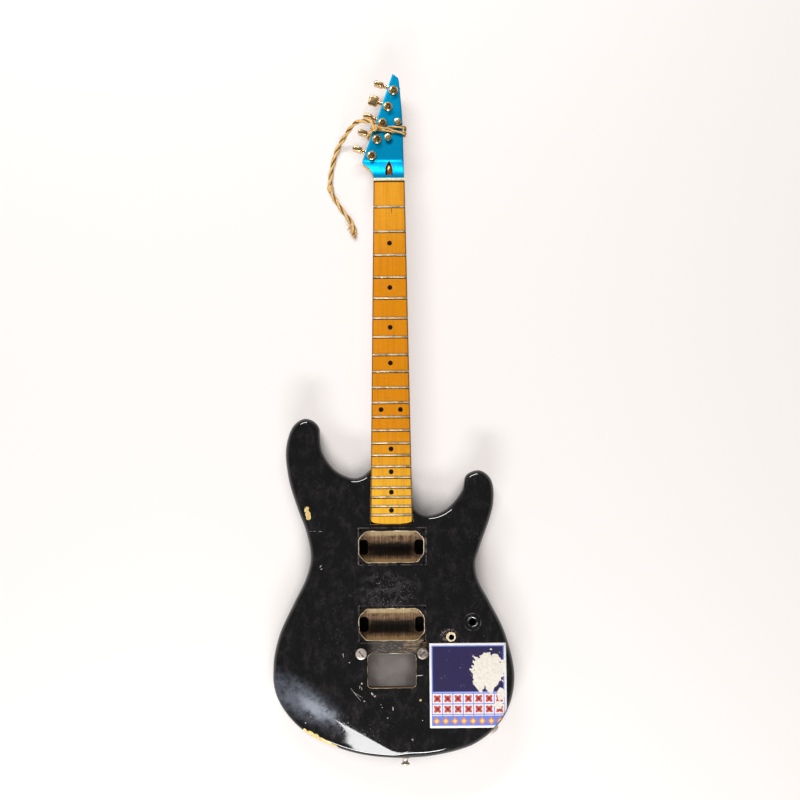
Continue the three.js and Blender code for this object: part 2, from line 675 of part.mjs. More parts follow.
// The nut keeps its string slots.
function nutPiece() {
  const { thickness, height, depth, endDrop } = nutSize;
  const half = nutWidth / 2;
  const slotHalf = stringSlot.width / 2;
  const points = [[-half, glueGap - depth], [half, glueGap - depth], [half, height - endDrop]];
  for (let s = stringSlot.count - 1; s >= 0; s -= 1) {
    const x = (s - (stringSlot.count - 1) / 2) * stringSlot.spacing;
    points.push([x + slotHalf, height], [x, height - stringSlot.depth], [x - slotHalf, height]);
  }
  points.push([-half, height - endDrop]);
  const swing = new THREE.Matrix4().makeBasis(X, Z, Y.clone().negate());
  const width = thickness - glueGap;
  const blank = extrude(polygon(points), width, 1).applyMatrix4(swing);
  return mesh('nut', blank.translate(0, width + glueGap, 0), bone);
}

function treePiece(name, [x, y]) {
  const { radius, neckRadius, topRadius, height, pinRadius, pinDepth } = tree;
  const { under, low, high } = treeCap;
  const profile = [
    [0, -pinDepth], [pinRadius, -pinDepth], [pinRadius, glueGap], [neckRadius, glueGap],
    [neckRadius, height - under], [radius, height - low], [radius, height - high], [topRadius, height],
    [0, height],
  ];
  return mesh(name, turned(profile, 12).translate(x, y, headFace), gold);
}

// Tuner, in a frame whose z = 0 is the headstock's back at the post and whose +X is the way out
// along the shaft. The gear sits on the post and the worm on the shaft, both without teeth.
const cavity = {
  left: -gearRadius - 2 * seatGap,
  right: gearRadius + 4 * seatGap,
  front: -wormOffset - shaftRadius - 2 * seatGap,
  back: gearRadius + 2 * seatGap,
  floor: -housingDepth + housingWall,
};
const shaftLine = new THREE.Vector3(0, -wormOffset, -shaftDrop);

function housingShape(grow) {
  const length = cavity.right - cavity.left + 2 * grow;
  const width = cavity.back - cavity.front + 2 * grow;
  return roundedRectangle((cavity.right + cavity.left) / 2, (cavity.back + cavity.front) / 2, length, width,
    housingCorner + grow);
}

function housingPiece(name) {
  const boreRadius = shaftRadius + runGap;
  const boss = rod(boreRadius + bossWall, 0, collar.start - seatGap, 12);
  const bore = rod(boreRadius, 0, collar.start + overrun, 12);
  const shell = join(prism(housingShape(housingWall), -housingDepth, -seatGap, 2),
    solid(turnedAlong(boss, X, shaftLine)));
  const inside = prism(housingShape(0), cavity.floor, overrun, 1);
  return mesh(name, cut(shell, inside, solid(turnedAlong(bore, X, shaftLine))), gold);
}

function bushingPiece(name) {
  const { flangeHeight, height, bevel, tail } = bushing;
  const bore = postRadius + runGap;
  const rim = sleeveRadius + bushing.flange;
  const seat = headThickness + glueGap;
  const profile = [
    [bore, tail], [sleeveRadius, tail], [sleeveRadius, seat], [rim, seat], [rim, seat + flangeHeight],
    [rim - bevel, seat + height], [bore, seat + height], [bore, tail],
  ];
  return mesh(name, turned(profile, 16), gold);
}

function postPiece(name) {
  const low = cavity.floor + seatGap;
  const top = headThickness + postRise;
  const gearLow = -shaftDrop - gear.thickness / 2;
  const gearTop = gearLow + gear.thickness;
  const waist = postWaist.radius;
  const profile = [
    [0, low], [waist, low], [waist, gearLow], [gearRadius, gearLow], [gearRadius, gearTop],
    [postRadius, gearTop], [postRadius, top - postWaist.start], [waist, top - postWaist.low],
    [waist, top - postWaist.high], [postRadius, top - postWaist.end], [postWaist.tipRadius, top], [0, top],
  ];
  const holeHeight = top - (postWaist.low + postWaist.high) / 2;
  const stringHole = rod(stringHoleRadius, -postRadius - overrun, postRadius + overrun, 8);
  turnedAlong(stringHole, Y, new THREE.Vector3(0, 0, holeHeight));
  return mesh(name, cut(solid(turned(profile, 12)), solid(stringHole)), gold);
}

function buttonPiece(name, turn) {
  const { start, length, width, thickness, bevel } = button;
  const foot = cavity.left + seatGap;
  const end = start + collar.bite;
  const shaft = turned([
    [0, foot], [shaftRadius, foot], [shaftRadius, collar.start], [shaftRadius + collar.grow, collar.start],
    [shaftRadius + collar.endGrow, end], [0, end],
  ], 12);
  const paddle = new THREE.Shape();
  paddle.absellipse(start + length / 2, 0, length / 2, width / 2, 0, 2 * Math.PI);
  const grip = new THREE.ExtrudeGeometry(paddle, {
    depth: thickness - 2 * bevel,
    bevelThickness: bevel,
    bevelSize: bevel,
    bevelOffset: -bevel,
    bevelSegments: 2,
    curveSegments: 5,
  });
  grip.translate(0, 0, bevel - thickness / 2);
  const spin = new THREE.Matrix4().makeRotationX(THREE.MathUtils.degToRad(turn));
  const piece = join(solid(turnedAlong(shaft, X, new THREE.Vector3())), solid(grip.applyMatrix4(spin)));
  const result = mesh(name, piece, gold);
  result.position.copy(shaftLine);
  return result;
}

function tunerGroup(k) {
  const group = new THREE.Group();
  const place = postPlace(k);
  const name = `tuner_${k + 1}`;
  group.position.set(place.x, place.y, headBack);
  group.rotation.z = tunerLineAngle + Math.PI / 2;
  group.add(
    housingPiece(`${name}_housing`),
    bushingPiece(`${name}_bushing`),
    postPiece(`${name}_post`),
    buttonPiece(`${name}_button`, buttonTurns[k]),
  );
  return group;
}

// Twine
function tube(points, steps) {
  const section = new THREE.Shape();
  section.absarc(0, 0, twineRadius, 0, 2 * Math.PI);
  const outlineOfSection = new THREE.Shape(section.getSpacedPoints(twineSides).slice(0, twineSides));
  const extrudePath = new THREE.CatmullRomCurve3(points.map(([x, y, z]) => new THREE.Vector3(x, y, z)));
  return solid(new THREE.ExtrudeGeometry(outlineOfSection, { steps, extrudePath, bevelEnabled: false }));
}

// Two turns round the headstock, between the second and third tuners, tied on the face. The turns keep
// their distance from the wood: hug along its faces and bend, each way, round its edges.
function lashingPiece() {
  const hug = twineRadius + 2 * seatGap;
  const bend = hug * Math.SQRT1_2;
  const over = headFace + hug;
  const under = headBack - hug;
  const middle = (over + under) / 2;
  const right = 19.5;
  const left = -20.8;
  const knot = new THREE.SphereGeometry(knotRadius, 10, 6).scale(1, 1, knotFlatness);
  knot.translate(...knotPlace, over + seatGap);
  const firstTurn = [
    [-16, 75, over], [-8, 74.1, over], [4, 74.6, over], [13, 75.2, over], [right, 75.2, over],
    [right + bend, 75.1, headFace + bend], [right + hug, 75, headFace - 1], [right + hug, 74.6, middle],
    [right + hug, 74.3, headBack + 1], [right + bend, 74.1, headBack - bend], [right, 73.8, under],
    [12, 72.6, under], [2, 71.3, under], [-5, 71.9, under], [-11.6, 74.1, under], [-17.6, 76.1, under],
    [left, 76.9, under], [left - bend, 77.5, headBack - bend], [left - hug, 77.7, headBack + 1],
    [left - hug, 77.7, middle], [left - hug, 77.5, headFace - 1], [left - bend, 77, headFace + bend],
    [-19.6, 76.3, over],
  ];
  const secondTurn = [
    [-15.5, 73.6, over], [-10, 70.8, over], [-2, 70, over], [8, 69.9, over], [right, 69.2, over],
    [right + bend, 69, headFace + bend], [right + hug, 69, headFace - 1], [right + hug, 69, middle],
    [right + hug, 69.2, headBack + 1], [right + bend, 69.4, headBack - bend], [right, 69.8, under],
    [12, 71, under], [4, 71.4, under],
  ];
  const stub = [
    [-20.5, 74.5, over], [-25.2, 70.5, over - 0.8], [-27.8, 66, over - 4.5], [-28.4, 62, over - 8],
  ];
  const turns = [tube(firstTurn, 34), tube(secondTurn, 20), tube(stub, 3)];
  return mesh('twine_lashing', join(...turns, solid(knot)), sisal);
}

// The loose end: over the edge by the third button, down to the floor and along it.
function tailPiece() {
  const points = [
    [-19.8, 80.6, 46.8], [-21.8, 84.8, 46.2], [-25.6, 87.8, 44.4], [-31, 89.4, 41.6], [-38, 89.6, 38.2],
    [-44.7, 88.6, 33.6], [-50.4, 84.8, 27.6], [-56.4, 78.6, 20.4], [-62.4, 71.8, 13], [-68, 64.4, 7],
    [-72.6, 56, 3.6], [-76, 46.2, 2.6], [-79, 34.3, 2.5], [-81, 24.6, 2.5], [-82.2, 14.6, 2.6],
    [-82, 1.6, 3.7], [-79, -7.8, 2.6], [-73.5, -17.4, 2.5], [-66.4, -28.6, 2.5], [-59.4, -37.6, 2.5],
    [-53, -46.6, 2.5], [-49.8, -55.6, 2.5], [-49.4, -65, 2.5],
  ];
  const knot = new THREE.SphereGeometry(tailKnotRadius, 8, 6).scale(1, tailKnotStretch, 1);
  knot.translate(...tailKnotPlace);
  return mesh('twine_tail', join(tube(points, 26), solid(knot)), sisal);
}

const bodyGroup = new THREE.Group();
bodyGroup.position.y = heelEnd;
bodyGroup.add(
  mesh('body', bodyPiece(), black),
  platePiece(),
  coverPiece(),
  stickerPiece(),
  strapButtonPiece(),
  jackPiece(),
  ...screwPlaces.map((p, i) => screwPiece(`neck_screw_${i + 1}`, p)),
  ...studPlaces.map((p, i) => studPiece(`bridge_stud_${['left', 'right'][i]}`, p)),
);

const neckGroup = new THREE.Group();
neckGroup.position.z = boardTop;
neckGroup.add(
  mesh('neck', neckPiece(), maple),
  nutPiece(),
  trussPiece(),
  ...Array.from({ length: fretCount }, (_, i) => fretPiece(i + 1)),
  ...treePlaces.map((p, i) => treePiece(`string_tree_${i + 1}`, p)),
  ...Array.from({ length: tunerCount }, (_, k) => tunerGroup(k)),
);

const guitar = new THREE.Group();
guitar.add(bodyGroup, neckGroup);
guitar.updateMatrixWorld(true);
const box = new THREE.Box3().setFromObject(guitar, true);
const middle = box.getCenter(new THREE.Vector3());
neckGroup.add(lashingPiece());
guitar.add(tailPiece());
guitar.position.set(-middle.x, -middle.y, -box.min.z);

export default guitar;
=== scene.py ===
"""Looks of a broken electric guitar lying on its back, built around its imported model.

Sizes are millimetres in the guitar's own frame: x = 0 is the neck's centre line, y = 0 the nut's fret
side and z = 0 the body's back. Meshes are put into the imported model's frame, in metres, as they are made.
"""
import math
import bmesh
import bpy
import numpy as np
from mathutils import Matrix, Quaternion, Vector, geometry


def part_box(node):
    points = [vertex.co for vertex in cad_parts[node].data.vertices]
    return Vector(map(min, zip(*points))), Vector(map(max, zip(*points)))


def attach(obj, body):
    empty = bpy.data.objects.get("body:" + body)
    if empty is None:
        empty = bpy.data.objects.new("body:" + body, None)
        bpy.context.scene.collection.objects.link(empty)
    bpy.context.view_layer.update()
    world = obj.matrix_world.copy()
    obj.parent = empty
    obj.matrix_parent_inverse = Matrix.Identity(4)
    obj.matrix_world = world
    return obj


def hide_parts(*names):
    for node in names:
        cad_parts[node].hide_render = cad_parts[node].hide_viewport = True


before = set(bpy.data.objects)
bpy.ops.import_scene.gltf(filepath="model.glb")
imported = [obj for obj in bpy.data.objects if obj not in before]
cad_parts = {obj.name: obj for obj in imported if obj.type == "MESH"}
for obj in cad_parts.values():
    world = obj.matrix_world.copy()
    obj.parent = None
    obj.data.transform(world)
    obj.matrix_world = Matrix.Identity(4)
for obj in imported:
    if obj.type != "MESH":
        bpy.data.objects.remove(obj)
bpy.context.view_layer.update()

rng = np.random.default_rng(11)

# Frame
MM = 0.001
GLUE_GAP = 0.05
nut_low, nut_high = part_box("nut")
SHIFT = np.array([(nut_low.x + nut_high.x) / 2, nut_low.y - GLUE_GAP * MM, 0.0])

# Driving sizes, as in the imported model
BODY_THICKNESS = 44.5
EDGE_RADIUS = 10.0
ARM_RIM_RADIUS = 4.5
HEEL_EDGE_RADIUS = 3.0
POCKET_DEPTH = 16.0
SCALE_LENGTH = 647.7
FRET_COUNT = 21
BOARD_TAIL = 12.0
NUT_WIDTH = 42.5
HEEL_WIDTH = 56.5
END_BOW = 7.0
HEEL_LENGTH = 74.0
BOARD_RADIUS = 241.0
BOARD_SIDE = 5.5
BLANK_THICKNESS = 25.4
NECK_AT_NUT = 21.0
NECK_AT_HEEL = 23.2
VOLUTE_LENGTH = 40.0
HEAD_DROP = 10.5
HEAD_THICKNESS = 14.5
RAMP_END = 30.0
TUNER_COUNT = 5
TUNER_PITCH = 24.2
TUNER_LINE = math.radians(71.75)
LAST_POST = np.array([-23.7, 37.5])
SEAT_GAP = 0.3
ROUT_X = -0.8
BRIDGE_INSET = 8.5
TWINE_RADIUS = 2.3


def fret_y(n):
    """Distance of a fret from the nut: the scale shortened by a twelfth of an octave each time."""
    return -SCALE_LENGTH * (1 - 2 ** (-n / 12))


HEEL_END = fret_y(FRET_COUNT) - BOARD_TAIL
BRIDGE_Y = -(SCALE_LENGTH - BRIDGE_INSET)
NECK_PICKUP_Y = HEEL_END - 30.5
BRIDGE_PICKUP_Y = BRIDGE_Y + 38.5
PICKUPS = (NECK_PICKUP_Y, BRIDGE_PICKUP_Y)
VOLUME_HOLE = (106.6, HEEL_END - 131, 4.7)
TONE_HOLE = (78.5, HEEL_END - 151, 3.7)
POCKET_FLOOR = BODY_THICKNESS - POCKET_DEPTH
BOARD_TOP = POCKET_FLOOR + SEAT_GAP + BLANK_THICKNESS
HEAD_FACE = BOARD_TOP - HEAD_DROP
HEAD_BACK = HEAD_FACE - HEAD_THICKNESS
TUNER_WAY = np.array([math.cos(TUNER_LINE), math.sin(TUNER_LINE)])
TUNER_OUT = np.array([-math.sin(TUNER_LINE), math.cos(TUNER_LINE)])

# Camera: it looks down on the guitar, from over the body and tilted up towards the headstock
CAMERA_PLACE = np.array([12.546, -544.96, 2257.47])
CAMERA_TILT = math.radians(6.3077)
CAMERA_ROLL = 0.0079778
CAMERA_LENS = 74.22
CAMERA_SENSOR = 36.0


def add_camera():
    """Image right and up are turned by the roll from the x axis and the tilted y axis."""
    tilted = np.array([0, math.cos(CAMERA_TILT), math.sin(CAMERA_TILT)])
    across = np.array([1.0, 0, 0])
    cos, sin = math.cos(CAMERA_ROLL), math.sin(CAMERA_ROLL)
    back = np.array([0, -math.sin(CAMERA_TILT), math.cos(CAMERA_TILT)])
    columns = [cos * across - sin * tilted, sin * across + cos * tilted, back]
    data = bpy.data.cameras.new("camera")
    data.lens = CAMERA_LENS
    data.sensor_width = CAMERA_SENSOR
    camera = bpy.data.objects.new("camera", data)
    turn = Matrix(np.array(columns).T.tolist()).to_4x4()
    camera.matrix_world = Matrix.Translation(Vector(CAMERA_PLACE * MM + SHIFT)) @ turn
    bpy.context.scene.collection.objects.link(camera)
    bpy.context.scene.camera = camera


# Curves
def catmull(points, per_span, closed=False):
    """Centripetal Catmull-Rom curve: each span is a cubic whose end slopes come from the square roots of
    the distances between neighbouring points."""
    p = np.asarray(points, float)
    if closed:
        before, start, end, after = np.roll(p, 1, 0), p, np.roll(p, -1, 0), np.roll(p, -2, 0)
    else:
        p = np.vstack([2 * p[0] - p[1], p, 2 * p[-1] - p[-2]])
        before, start, end, after = p[:-3], p[1:-2], p[2:-1], p[3:]
    root = lambda a, b: np.sqrt(np.linalg.norm(b - a, axis=1, keepdims=True)) + 1e-9
    d0, d1, d2 = root(before, start), root(start, end), root(end, after)
    slope1 = d1 * ((start - before) / d0 - (end - before) / (d0 + d1) + (end - start) / d1)
    slope2 = d1 * ((end - start) / d1 - (after - start) / (d1 + d2) + (after - end) / d2)
    t = np.linspace(0, 1, per_span, endpoint=False)[:, None, None]
    curve = (start * (2 * t**3 - 3 * t**2 + 1) + slope1 * (t**3 - 2 * t**2 + t)
             + end * (3 * t**2 - 2 * t**3) + slope2 * (t**3 - t**2))
    curve = curve.transpose(1, 0, 2).reshape(-1, p.shape[1])
    return curve if closed else np.vstack([curve, p[-2]])


def evenly(points, spacing, closed=False):
    """The same line with its points at equal steps along it."""
    p = np.asarray(points, float)
    if closed:
        p = np.vstack([p, p[:1]])
    along = np.concatenate([[0], np.cumsum(np.linalg.norm(np.diff(p, axis=0), axis=1))])
    count = max(int(round(along[-1] / spacing)), 3)
    stops = np.linspace(0, along[-1], count + 1)
    if closed:
        stops = stops[:-1]
    return np.stack([np.interp(stops, along, p[:, i]) for i in range(p.shape[1])], axis=1)


def smooth(t):
    """Eased step from 0 to 1."""
    t = np.clip(t, 0, 1)
    return t * t * (3 - 2 * t)


def quadratic(start, control, end, count=14):
    """Quadratic curve, without its first point."""
    t = np.linspace(0, 1, count + 1)[1:, None]
    return (1 - t) ** 2 * np.array(start) + 2 * t * (1 - t) * np.array(control) + t**2 * np.array(end)


def outward(line):
    """Unit normals of a closed counterclockwise plan line, from its neighbours' chord."""
    chord = np.roll(line, -1, 0) - np.roll(line, 1, 0)
    normal = np.stack([chord[:, 1], -chord[:, 0]], axis=1)
    return normal / np.linalg.norm(normal, axis=1, keepdims=True)


def ripple(count, steps, size, closed=True):
    """Seeded random values at a few knots, joined by straight lines: a wander along a line."""
    knots = rng.normal(0, size, steps)
    if closed:
        knots = np.append(knots, knots[0])
    return np.interp(np.linspace(0, len(knots) - 1, count), np.arange(len(knots)), knots)


def inside(points, line):
    """True where a plan point lies inside a closed line, by counting crossings."""
    x, y = points[:, :1], points[:, 1:2]
    x1, y1 = line[:, 0], line[:, 1]
    x2, y2 = np.roll(x1, -1), np.roll(y1, -1)
    crosses = (y1 > y) != (y2 > y)
    at = x1 + (y - y1) / (y2 - y1 + 1e-12) * (x2 - x1)
    return (crosses & (x < at)).sum(1) % 2 == 1


def nearest(points, line):
    """Distance from each plan point to the nearest point of a closed line."""
    a, b = line, np.roll(line, -1, 0)
    best = np.full(len(points), 1e9)
    for block in np.array_split(np.arange(len(points)), max(len(points) // 2000, 1)):
        p = points[block][:, None, :]
        t = ((p - a) * (b - a)).sum(2) / ((b - a) ** 2).sum(1)
        gap = p - a - np.clip(t, 0, 1)[..., None] * (b - a)
        best[block] = np.sqrt((gap**2).sum(2).min(1))
    return best


# Shapes: an array of points, a list of faces and a material number for each face
def skin(rings, loop=False, tags=None):
    """Quads between neighbouring rings of points. The end rings are closed by one face each, or the last
    ring joins the first."""
    rings = np.asarray(rings, float)
    levels, count = rings.shape[:2]
    rows = np.arange(levels if loop else levels - 1)[:, None]
    i = np.arange(count)[None, :]
    j = (i + 1) % count
    up = (rows + 1) % levels
    quads = np.stack([rows * count + i, rows * count + j, up * count + j, up * count + i], axis=2)
    faces = quads.reshape(-1, 4).tolist()
    marks = np.repeat(np.zeros(len(rows), int) if tags is None else np.asarray(tags), count).tolist()
    if not loop:
        faces.append(np.arange(count)[::-1].tolist())
        faces.append((np.arange(count) + (levels - 1) * count).tolist())
        marks += [marks[0], marks[-1]]
    return rings.reshape(-1, 3), faces, marks


def joined(*shapes):
    """Several shapes as one, side by side."""
    points, faces, marks, start = [], [], [], 0
    for verts, polygons, tags in shapes:
        points.append(verts)
        faces += [[i + start for i in polygon] for polygon in polygons]
        marks += list(tags)
        start += len(verts)
    return np.vstack(points), faces, marks


def frame_of(axis):
    """Two unit vectors square to an axis."""
    axis = np.asarray(axis, float) / np.linalg.norm(axis)
    helper = np.array([0, 0, 1.0]) if abs(axis[2]) < 0.9 else np.array([1.0, 0, 0])
    side = np.cross(helper, axis)
    side /= np.linalg.norm(side)
    return axis, side, np.cross(axis, side)


def turned(profile, point=(0, 0, 0), axis=(0, 0, 1), segments=40, loop=False):
    """A profile of radius and height spun about an axis through a point."""
    axis, side, other = frame_of(axis)
    angle = np.linspace(0, 2 * np.pi, segments, endpoint=False)
    circle = np.cos(angle)[:, None] * side + np.sin(angle)[:, None] * other
    rings = [np.asarray(point) + height * axis + radius * circle for radius, height in profile]
    return skin(rings, loop)


def carried_frame(path):
    """Unit vectors beside a path, turned as little as it allows."""
    way = np.gradient(path, axis=0)
    way /= np.linalg.norm(way, axis=1, keepdims=True)
    side = [frame_of(way[0])[1]]
    for step in way[1:]:
        next_side = side[-1] - step * np.dot(side[-1], step)
        side.append(next_side / np.linalg.norm(next_side))
    side = np.array(side)
    return way, side, np.cross(way, side)


def tube(path, radius, sides=8):
    """A circle carried along a path, its frame turned as little as the path allows. The radius may change
    along the path."""
    path = np.asarray(path, float)
    _, side, other = carried_frame(path)
    angle = np.linspace(0, 2 * np.pi, sides, endpoint=False)
    wide = np.broadcast_to(np.asarray(radius, float), (len(path),))[:, None, None]
    circle = np.cos(angle)[None, :, None] * side[:, None] + np.sin(angle)[None, :, None] * other[:, None]
    return skin(path[:, None] + wide * circle)


def plug(line, levels, tags=None):
    """A plan line stacked at several heights, each grown outwards by an amount that may vary along it."""
    out = outward(line)
    rings = []
    for z, grow in levels:
        flat = line + out * np.broadcast_to(grow, (len(line),))[:, None]
        height = np.broadcast_to(z, (len(line),))
        rings.append(np.column_stack([flat, height]))
    return skin(rings, tags=tags)


def fill(line, spacing):
    """Triangles over a closed plan line, on its own points and an even grid inside it."""
    low, high = line.min(0), line.max(0)
    x, y = np.meshgrid(np.arange(low[0], high[0], spacing), np.arange(low[1], high[1], spacing))
    spots = np.column_stack([x.ravel(), y.ravel()])
    spots = spots[inside(spots, line)]
    spots = spots[nearest(spots, line) > spacing * 0.6]
    points = np.vstack([line, spots])
    ring = [(i, (i + 1) % len(line)) for i in range(len(line))]
    found = geometry.delaunay_2d_cdt([Vector(p) for p in points], ring, [], 1, 1e-7)
    origin = [source[0] for source in found[3]]
    return spots, [[origin[i] for i in face] for face in found[2]]


def slab(line, low, top, low_round, top_round, steps, spacing):
    """A plate with a plan outline. Rings step in along quarter circles at the lower and upper rim, and
    triangles close both faces. The upper face follows a height function of x and y."""
    out = outward(line)
    low_round = np.broadcast_to(low_round, (len(line),))
    top_round = np.broadcast_to(top_round, (len(line),))
    angles = np.linspace(0, np.pi / 2, steps + 1)
    rings = []
    for a in angles:
        flat = line - out * (low_round * (1 - np.sin(a)))[:, None]
        rings.append(np.column_stack([flat, low + low_round * (1 - np.cos(a))]))
    for a in angles[::-1]:
        flat = line - out * (top_round * (1 - np.sin(a)))[:, None]
        rings.append(np.column_stack([flat, top(flat) - top_round * (1 - np.cos(a))]))
    points, faces, _ = skin(rings)
    faces = faces[:-2]
    count = len(line)
    base = len(points) - count
    for ring, start, height in ((rings[0], 0, lambda p: np.full(len(p), low)), (rings[-1], base, top)):
        spots, triangles = fill(ring[:, :2], spacing)
        extra = len(points)
        points = np.vstack([points, np.column_stack([spots, height(spots)])])
        corner = np.array(triangles)
        faces += np.where(corner < count, corner + start, corner - count + extra).tolist()
    return points, faces, [0] * len(faces)


def box_shape(low, high):
    """A block between two corners."""
    (x0, y0, z0), (x1, y1, z1) = low, high
    ring = np.array([[x0, y0], [x1, y0], [x1, y1], [x0, y1]])
    return plug(ring, [(z0, 0), (z1, 0)])


def rounded(x, y, length, width, radius, spacing=2.0):
    """A rectangle with round corners, counterclockwise."""
    turn = np.linspace(0, np.pi / 2, 9)
    corners = []
    for k, (sx, sy) in enumerate(((1, 1), (-1, 1), (-1, -1), (1, -1))):
        centre = np.array([x + sx * (length / 2 - radius), y + sy * (width / 2 - radius)])
        angle = turn + k * np.pi / 2
        corners.append(centre + radius * np.column_stack([np.cos(angle), np.sin(angle)]))
    return evenly(np.vstack(corners), spacing, True)


def disc_line(x, y, radius, count=40):
    """A circle in plan, counterclockwise."""
    angle = np.linspace(0, 2 * np.pi, count, endpoint=False)
    return np.column_stack([x + radius * np.cos(angle), y + radius * np.sin(angle)])


# Meshes
def shade(mesh, crease):
    """Smooth shading, but for edges sharper than the crease angle."""
    mesh.polygons.foreach_set("use_smooth", np.ones(len(mesh.polygons), bool))
    mesh.set_sharp_from_angle(angle=math.radians(crease))


def loose(name, shape, materials, closed=True):
    """A mesh object of one shape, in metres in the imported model's frame. Poles are merged to one point, and
    a closed shape's faces are turned out."""
    points, faces, tags = shape
    mesh = bpy.data.meshes.new(name)
    mesh.from_pydata((points * MM + SHIFT).tolist(), [], faces)
    for material in materials:
        mesh.materials.append(material)
    mesh.polygons.foreach_set("material_index", np.array(tags, np.int32))
    work = bmesh.new()
    work.from_mesh(mesh)
    bmesh.ops.remove_doubles(work, verts=work.verts, dist=1e-7)
    if closed:
        bmesh.ops.recalc_face_normals(work, faces=work.faces)
    work.to_mesh(mesh)
    work.free()
    piece = bpy.data.objects.new(name, mesh)
    bpy.context.scene.collection.objects.link(piece)
    return piece


def settle(piece, stands_for=(), body="guitar", crease=35):
    """Shades a finished piece, puts it on its body and hides the imported parts it stands for."""
    shade(piece.data, crease)
    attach(piece, body)
    if stands_for:
        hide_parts(*stands_for)
    return piece


def bake(piece):
    """Applies a piece's modifiers to its mesh."""
    graph = bpy.context.evaluated_depsgraph_get()
    result = bpy.data.meshes.new_from_object(piece.evaluated_get(graph))
    piece.modifiers.clear()
    piece.data = result


def carve(piece, tools, operation="DIFFERENCE"):
    """Takes tools out of a piece, or joins them to it, and keeps the tools' materials on the new faces."""
    for tool in tools:
        step = piece.modifiers.new("carve", "BOOLEAN")
        step.operation = operation
        step.solver = "EXACT"
        step.material_mode = "TRANSFER"
        step.object = tool
    bake(piece)
    for tool in tools:
        bpy.data.objects.remove(tool)


def face_table(mesh):
    """Centres, in the guitar's millimetres, and normals of a mesh's faces."""
    centre = np.zeros(len(mesh.polygons) * 3)
    normal = np.zeros(len(mesh.polygons) * 3)
    mesh.polygons.foreach_get("center", centre)
    mesh.polygons.foreach_get("normal", normal)
    return (centre.reshape(-1, 3) - SHIFT) / MM, normal.reshape(-1, 3)


# Materials
def linear(hexed):
    """sRGB hex to linear colour."""
    value = np.array([int(hexed[i:i + 2], 16) for i in (1, 3, 5)]) / 255
    value = np.where(value <= 0.04045, value / 12.92, ((value + 0.055) / 1.055) ** 2.4)
    return (*value.tolist(), 1.0)


def per(size):
    """Pattern scale for a feature of so many millimetres."""
    return 1 / (size * MM)


def spot(x, y, z=0.0):
    """A place in the guitar's frame as Object coordinates."""
    return tuple((np.array([x, y, z]) * MM + SHIFT).tolist())


def add(tree, kind, inputs=None, out=0, **settings):
    """Adds one node, sets its settings, fills each input with a value or a link, and gives one output."""
    made = tree.nodes.new("ShaderNode" + kind)
    for key, value in settings.items():
        setattr(made, key, value)
    for key, value in (inputs or {}).items():
        if isinstance(value, bpy.types.NodeSocket):
            tree.links.new(value, made.inputs[key])
        else:
            made.inputs[key].default_value = value
    return made.outputs[out]


def begin(name):
    """A new material: its tree, its shader and Object coordinates."""
    material = bpy.data.materials.new(name)
    material.use_nodes = True
    tree = material.node_tree
    return material, tree, tree.nodes["Principled BSDF"], add(tree, "TexCoord", out="Object")


def calc(tree, operation, *values):
    """One step of arithmetic on values or links."""
    return add(tree, "Math", dict(enumerate(values)), operation=operation)


def span(tree, value, start, end, low=0, high=1, eased=False):
    """Maps a value from start to end onto low to high, in a straight line or eased."""
    steps = {0: value, 1: start, 2: end, 3: low, 4: high}
    return add(tree, "MapRange", steps, interpolation_type="SMOOTHSTEP" if eased else "LINEAR")


def over(tree, under, pattern, start, full, tint, most=1.0):
    """Lays a colour over another where a pattern goes from start to full, up to a share of it."""
    share = span(tree, pattern, start, full, 0, most, eased=True)
    top = tint if isinstance(tint, bpy.types.NodeSocket) else linear(tint)
    return add(tree, "Mix", {0: share, 6: under, 7: top}, 2, data_type="RGBA")


def zone(tree, place, centre, size, square=False, turn=0.0):
    """Distance from a zone's middle in its own half sizes, so its edge is at 1: an oval, or a rectangle."""
    local = add(tree, "Mapping", {"Vector": place, "Location": centre, "Rotation": (0, 0, turn),
                                  "Scale": (size[0] * MM, size[1] * MM, 1.0)}, vector_type="TEXTURE")
    if not square:
        return add(tree, "VectorMath", {0: local}, 1, operation="LENGTH")
    sides = add(tree, "VectorMath", {0: local}, operation="ABSOLUTE")
    x, y = add(tree, "SeparateXYZ", {0: sides}), add(tree, "SeparateXYZ", {0: sides}, 1)
    return calc(tree, "MAXIMUM", x, y)


def grain(tree, place, size, detail=5, rough=0.65):
    """Noise with features of so many millimetres along x, y and z."""
    local = add(tree, "Mapping", {"Vector": place, "Scale": tuple(per(s) for s in size)})
    return add(tree, "TexNoise", {"Vector": local, "Scale": 1, "Detail": detail, "Roughness": rough})


def on_top(tree, place, lowest=BODY_THICKNESS / 2):
    """Object coordinates for marks on the guitar's top: moved a metre off below a lowest height."""
    height = add(tree, "SeparateXYZ", {0: place}, 2)
    below = calc(tree, "LESS_THAN", height, lowest * MM)
    return add(tree, "VectorMath", {0: below, 1: (1, 0, 0), 2: place}, operation="MULTIPLY_ADD")


def dress(tree, shader, colour, rough, relief, depth, shine=0.5, metallic=0.0):
    """Gives the shader its colour, roughness, shine and a relief of so many millimetres."""
    bump = add(tree, "Bump", {"Height": relief, "Distance": abs(depth) * MM}, invert=depth < 0)
    for link, name in ((colour, "Base Color"), (rough, "Roughness"), (bump, "Normal")):
        tree.links.new(link, shader.inputs[name])
    shader.inputs["Specular IOR Level"].default_value = shine
    shader.inputs["Metallic"].default_value = metallic


# Forearm slope: the way it falls, where it starts along that way, and how it falls
ARM_AIM = np.array([-0.543, -0.84])
ARM_START = 637.5
ARM_SLOPE = 13 / 46
ARM_SOFT = 16.0
ARM_TURN = math.atan2(ARM_AIM[0], -ARM_AIM[1])
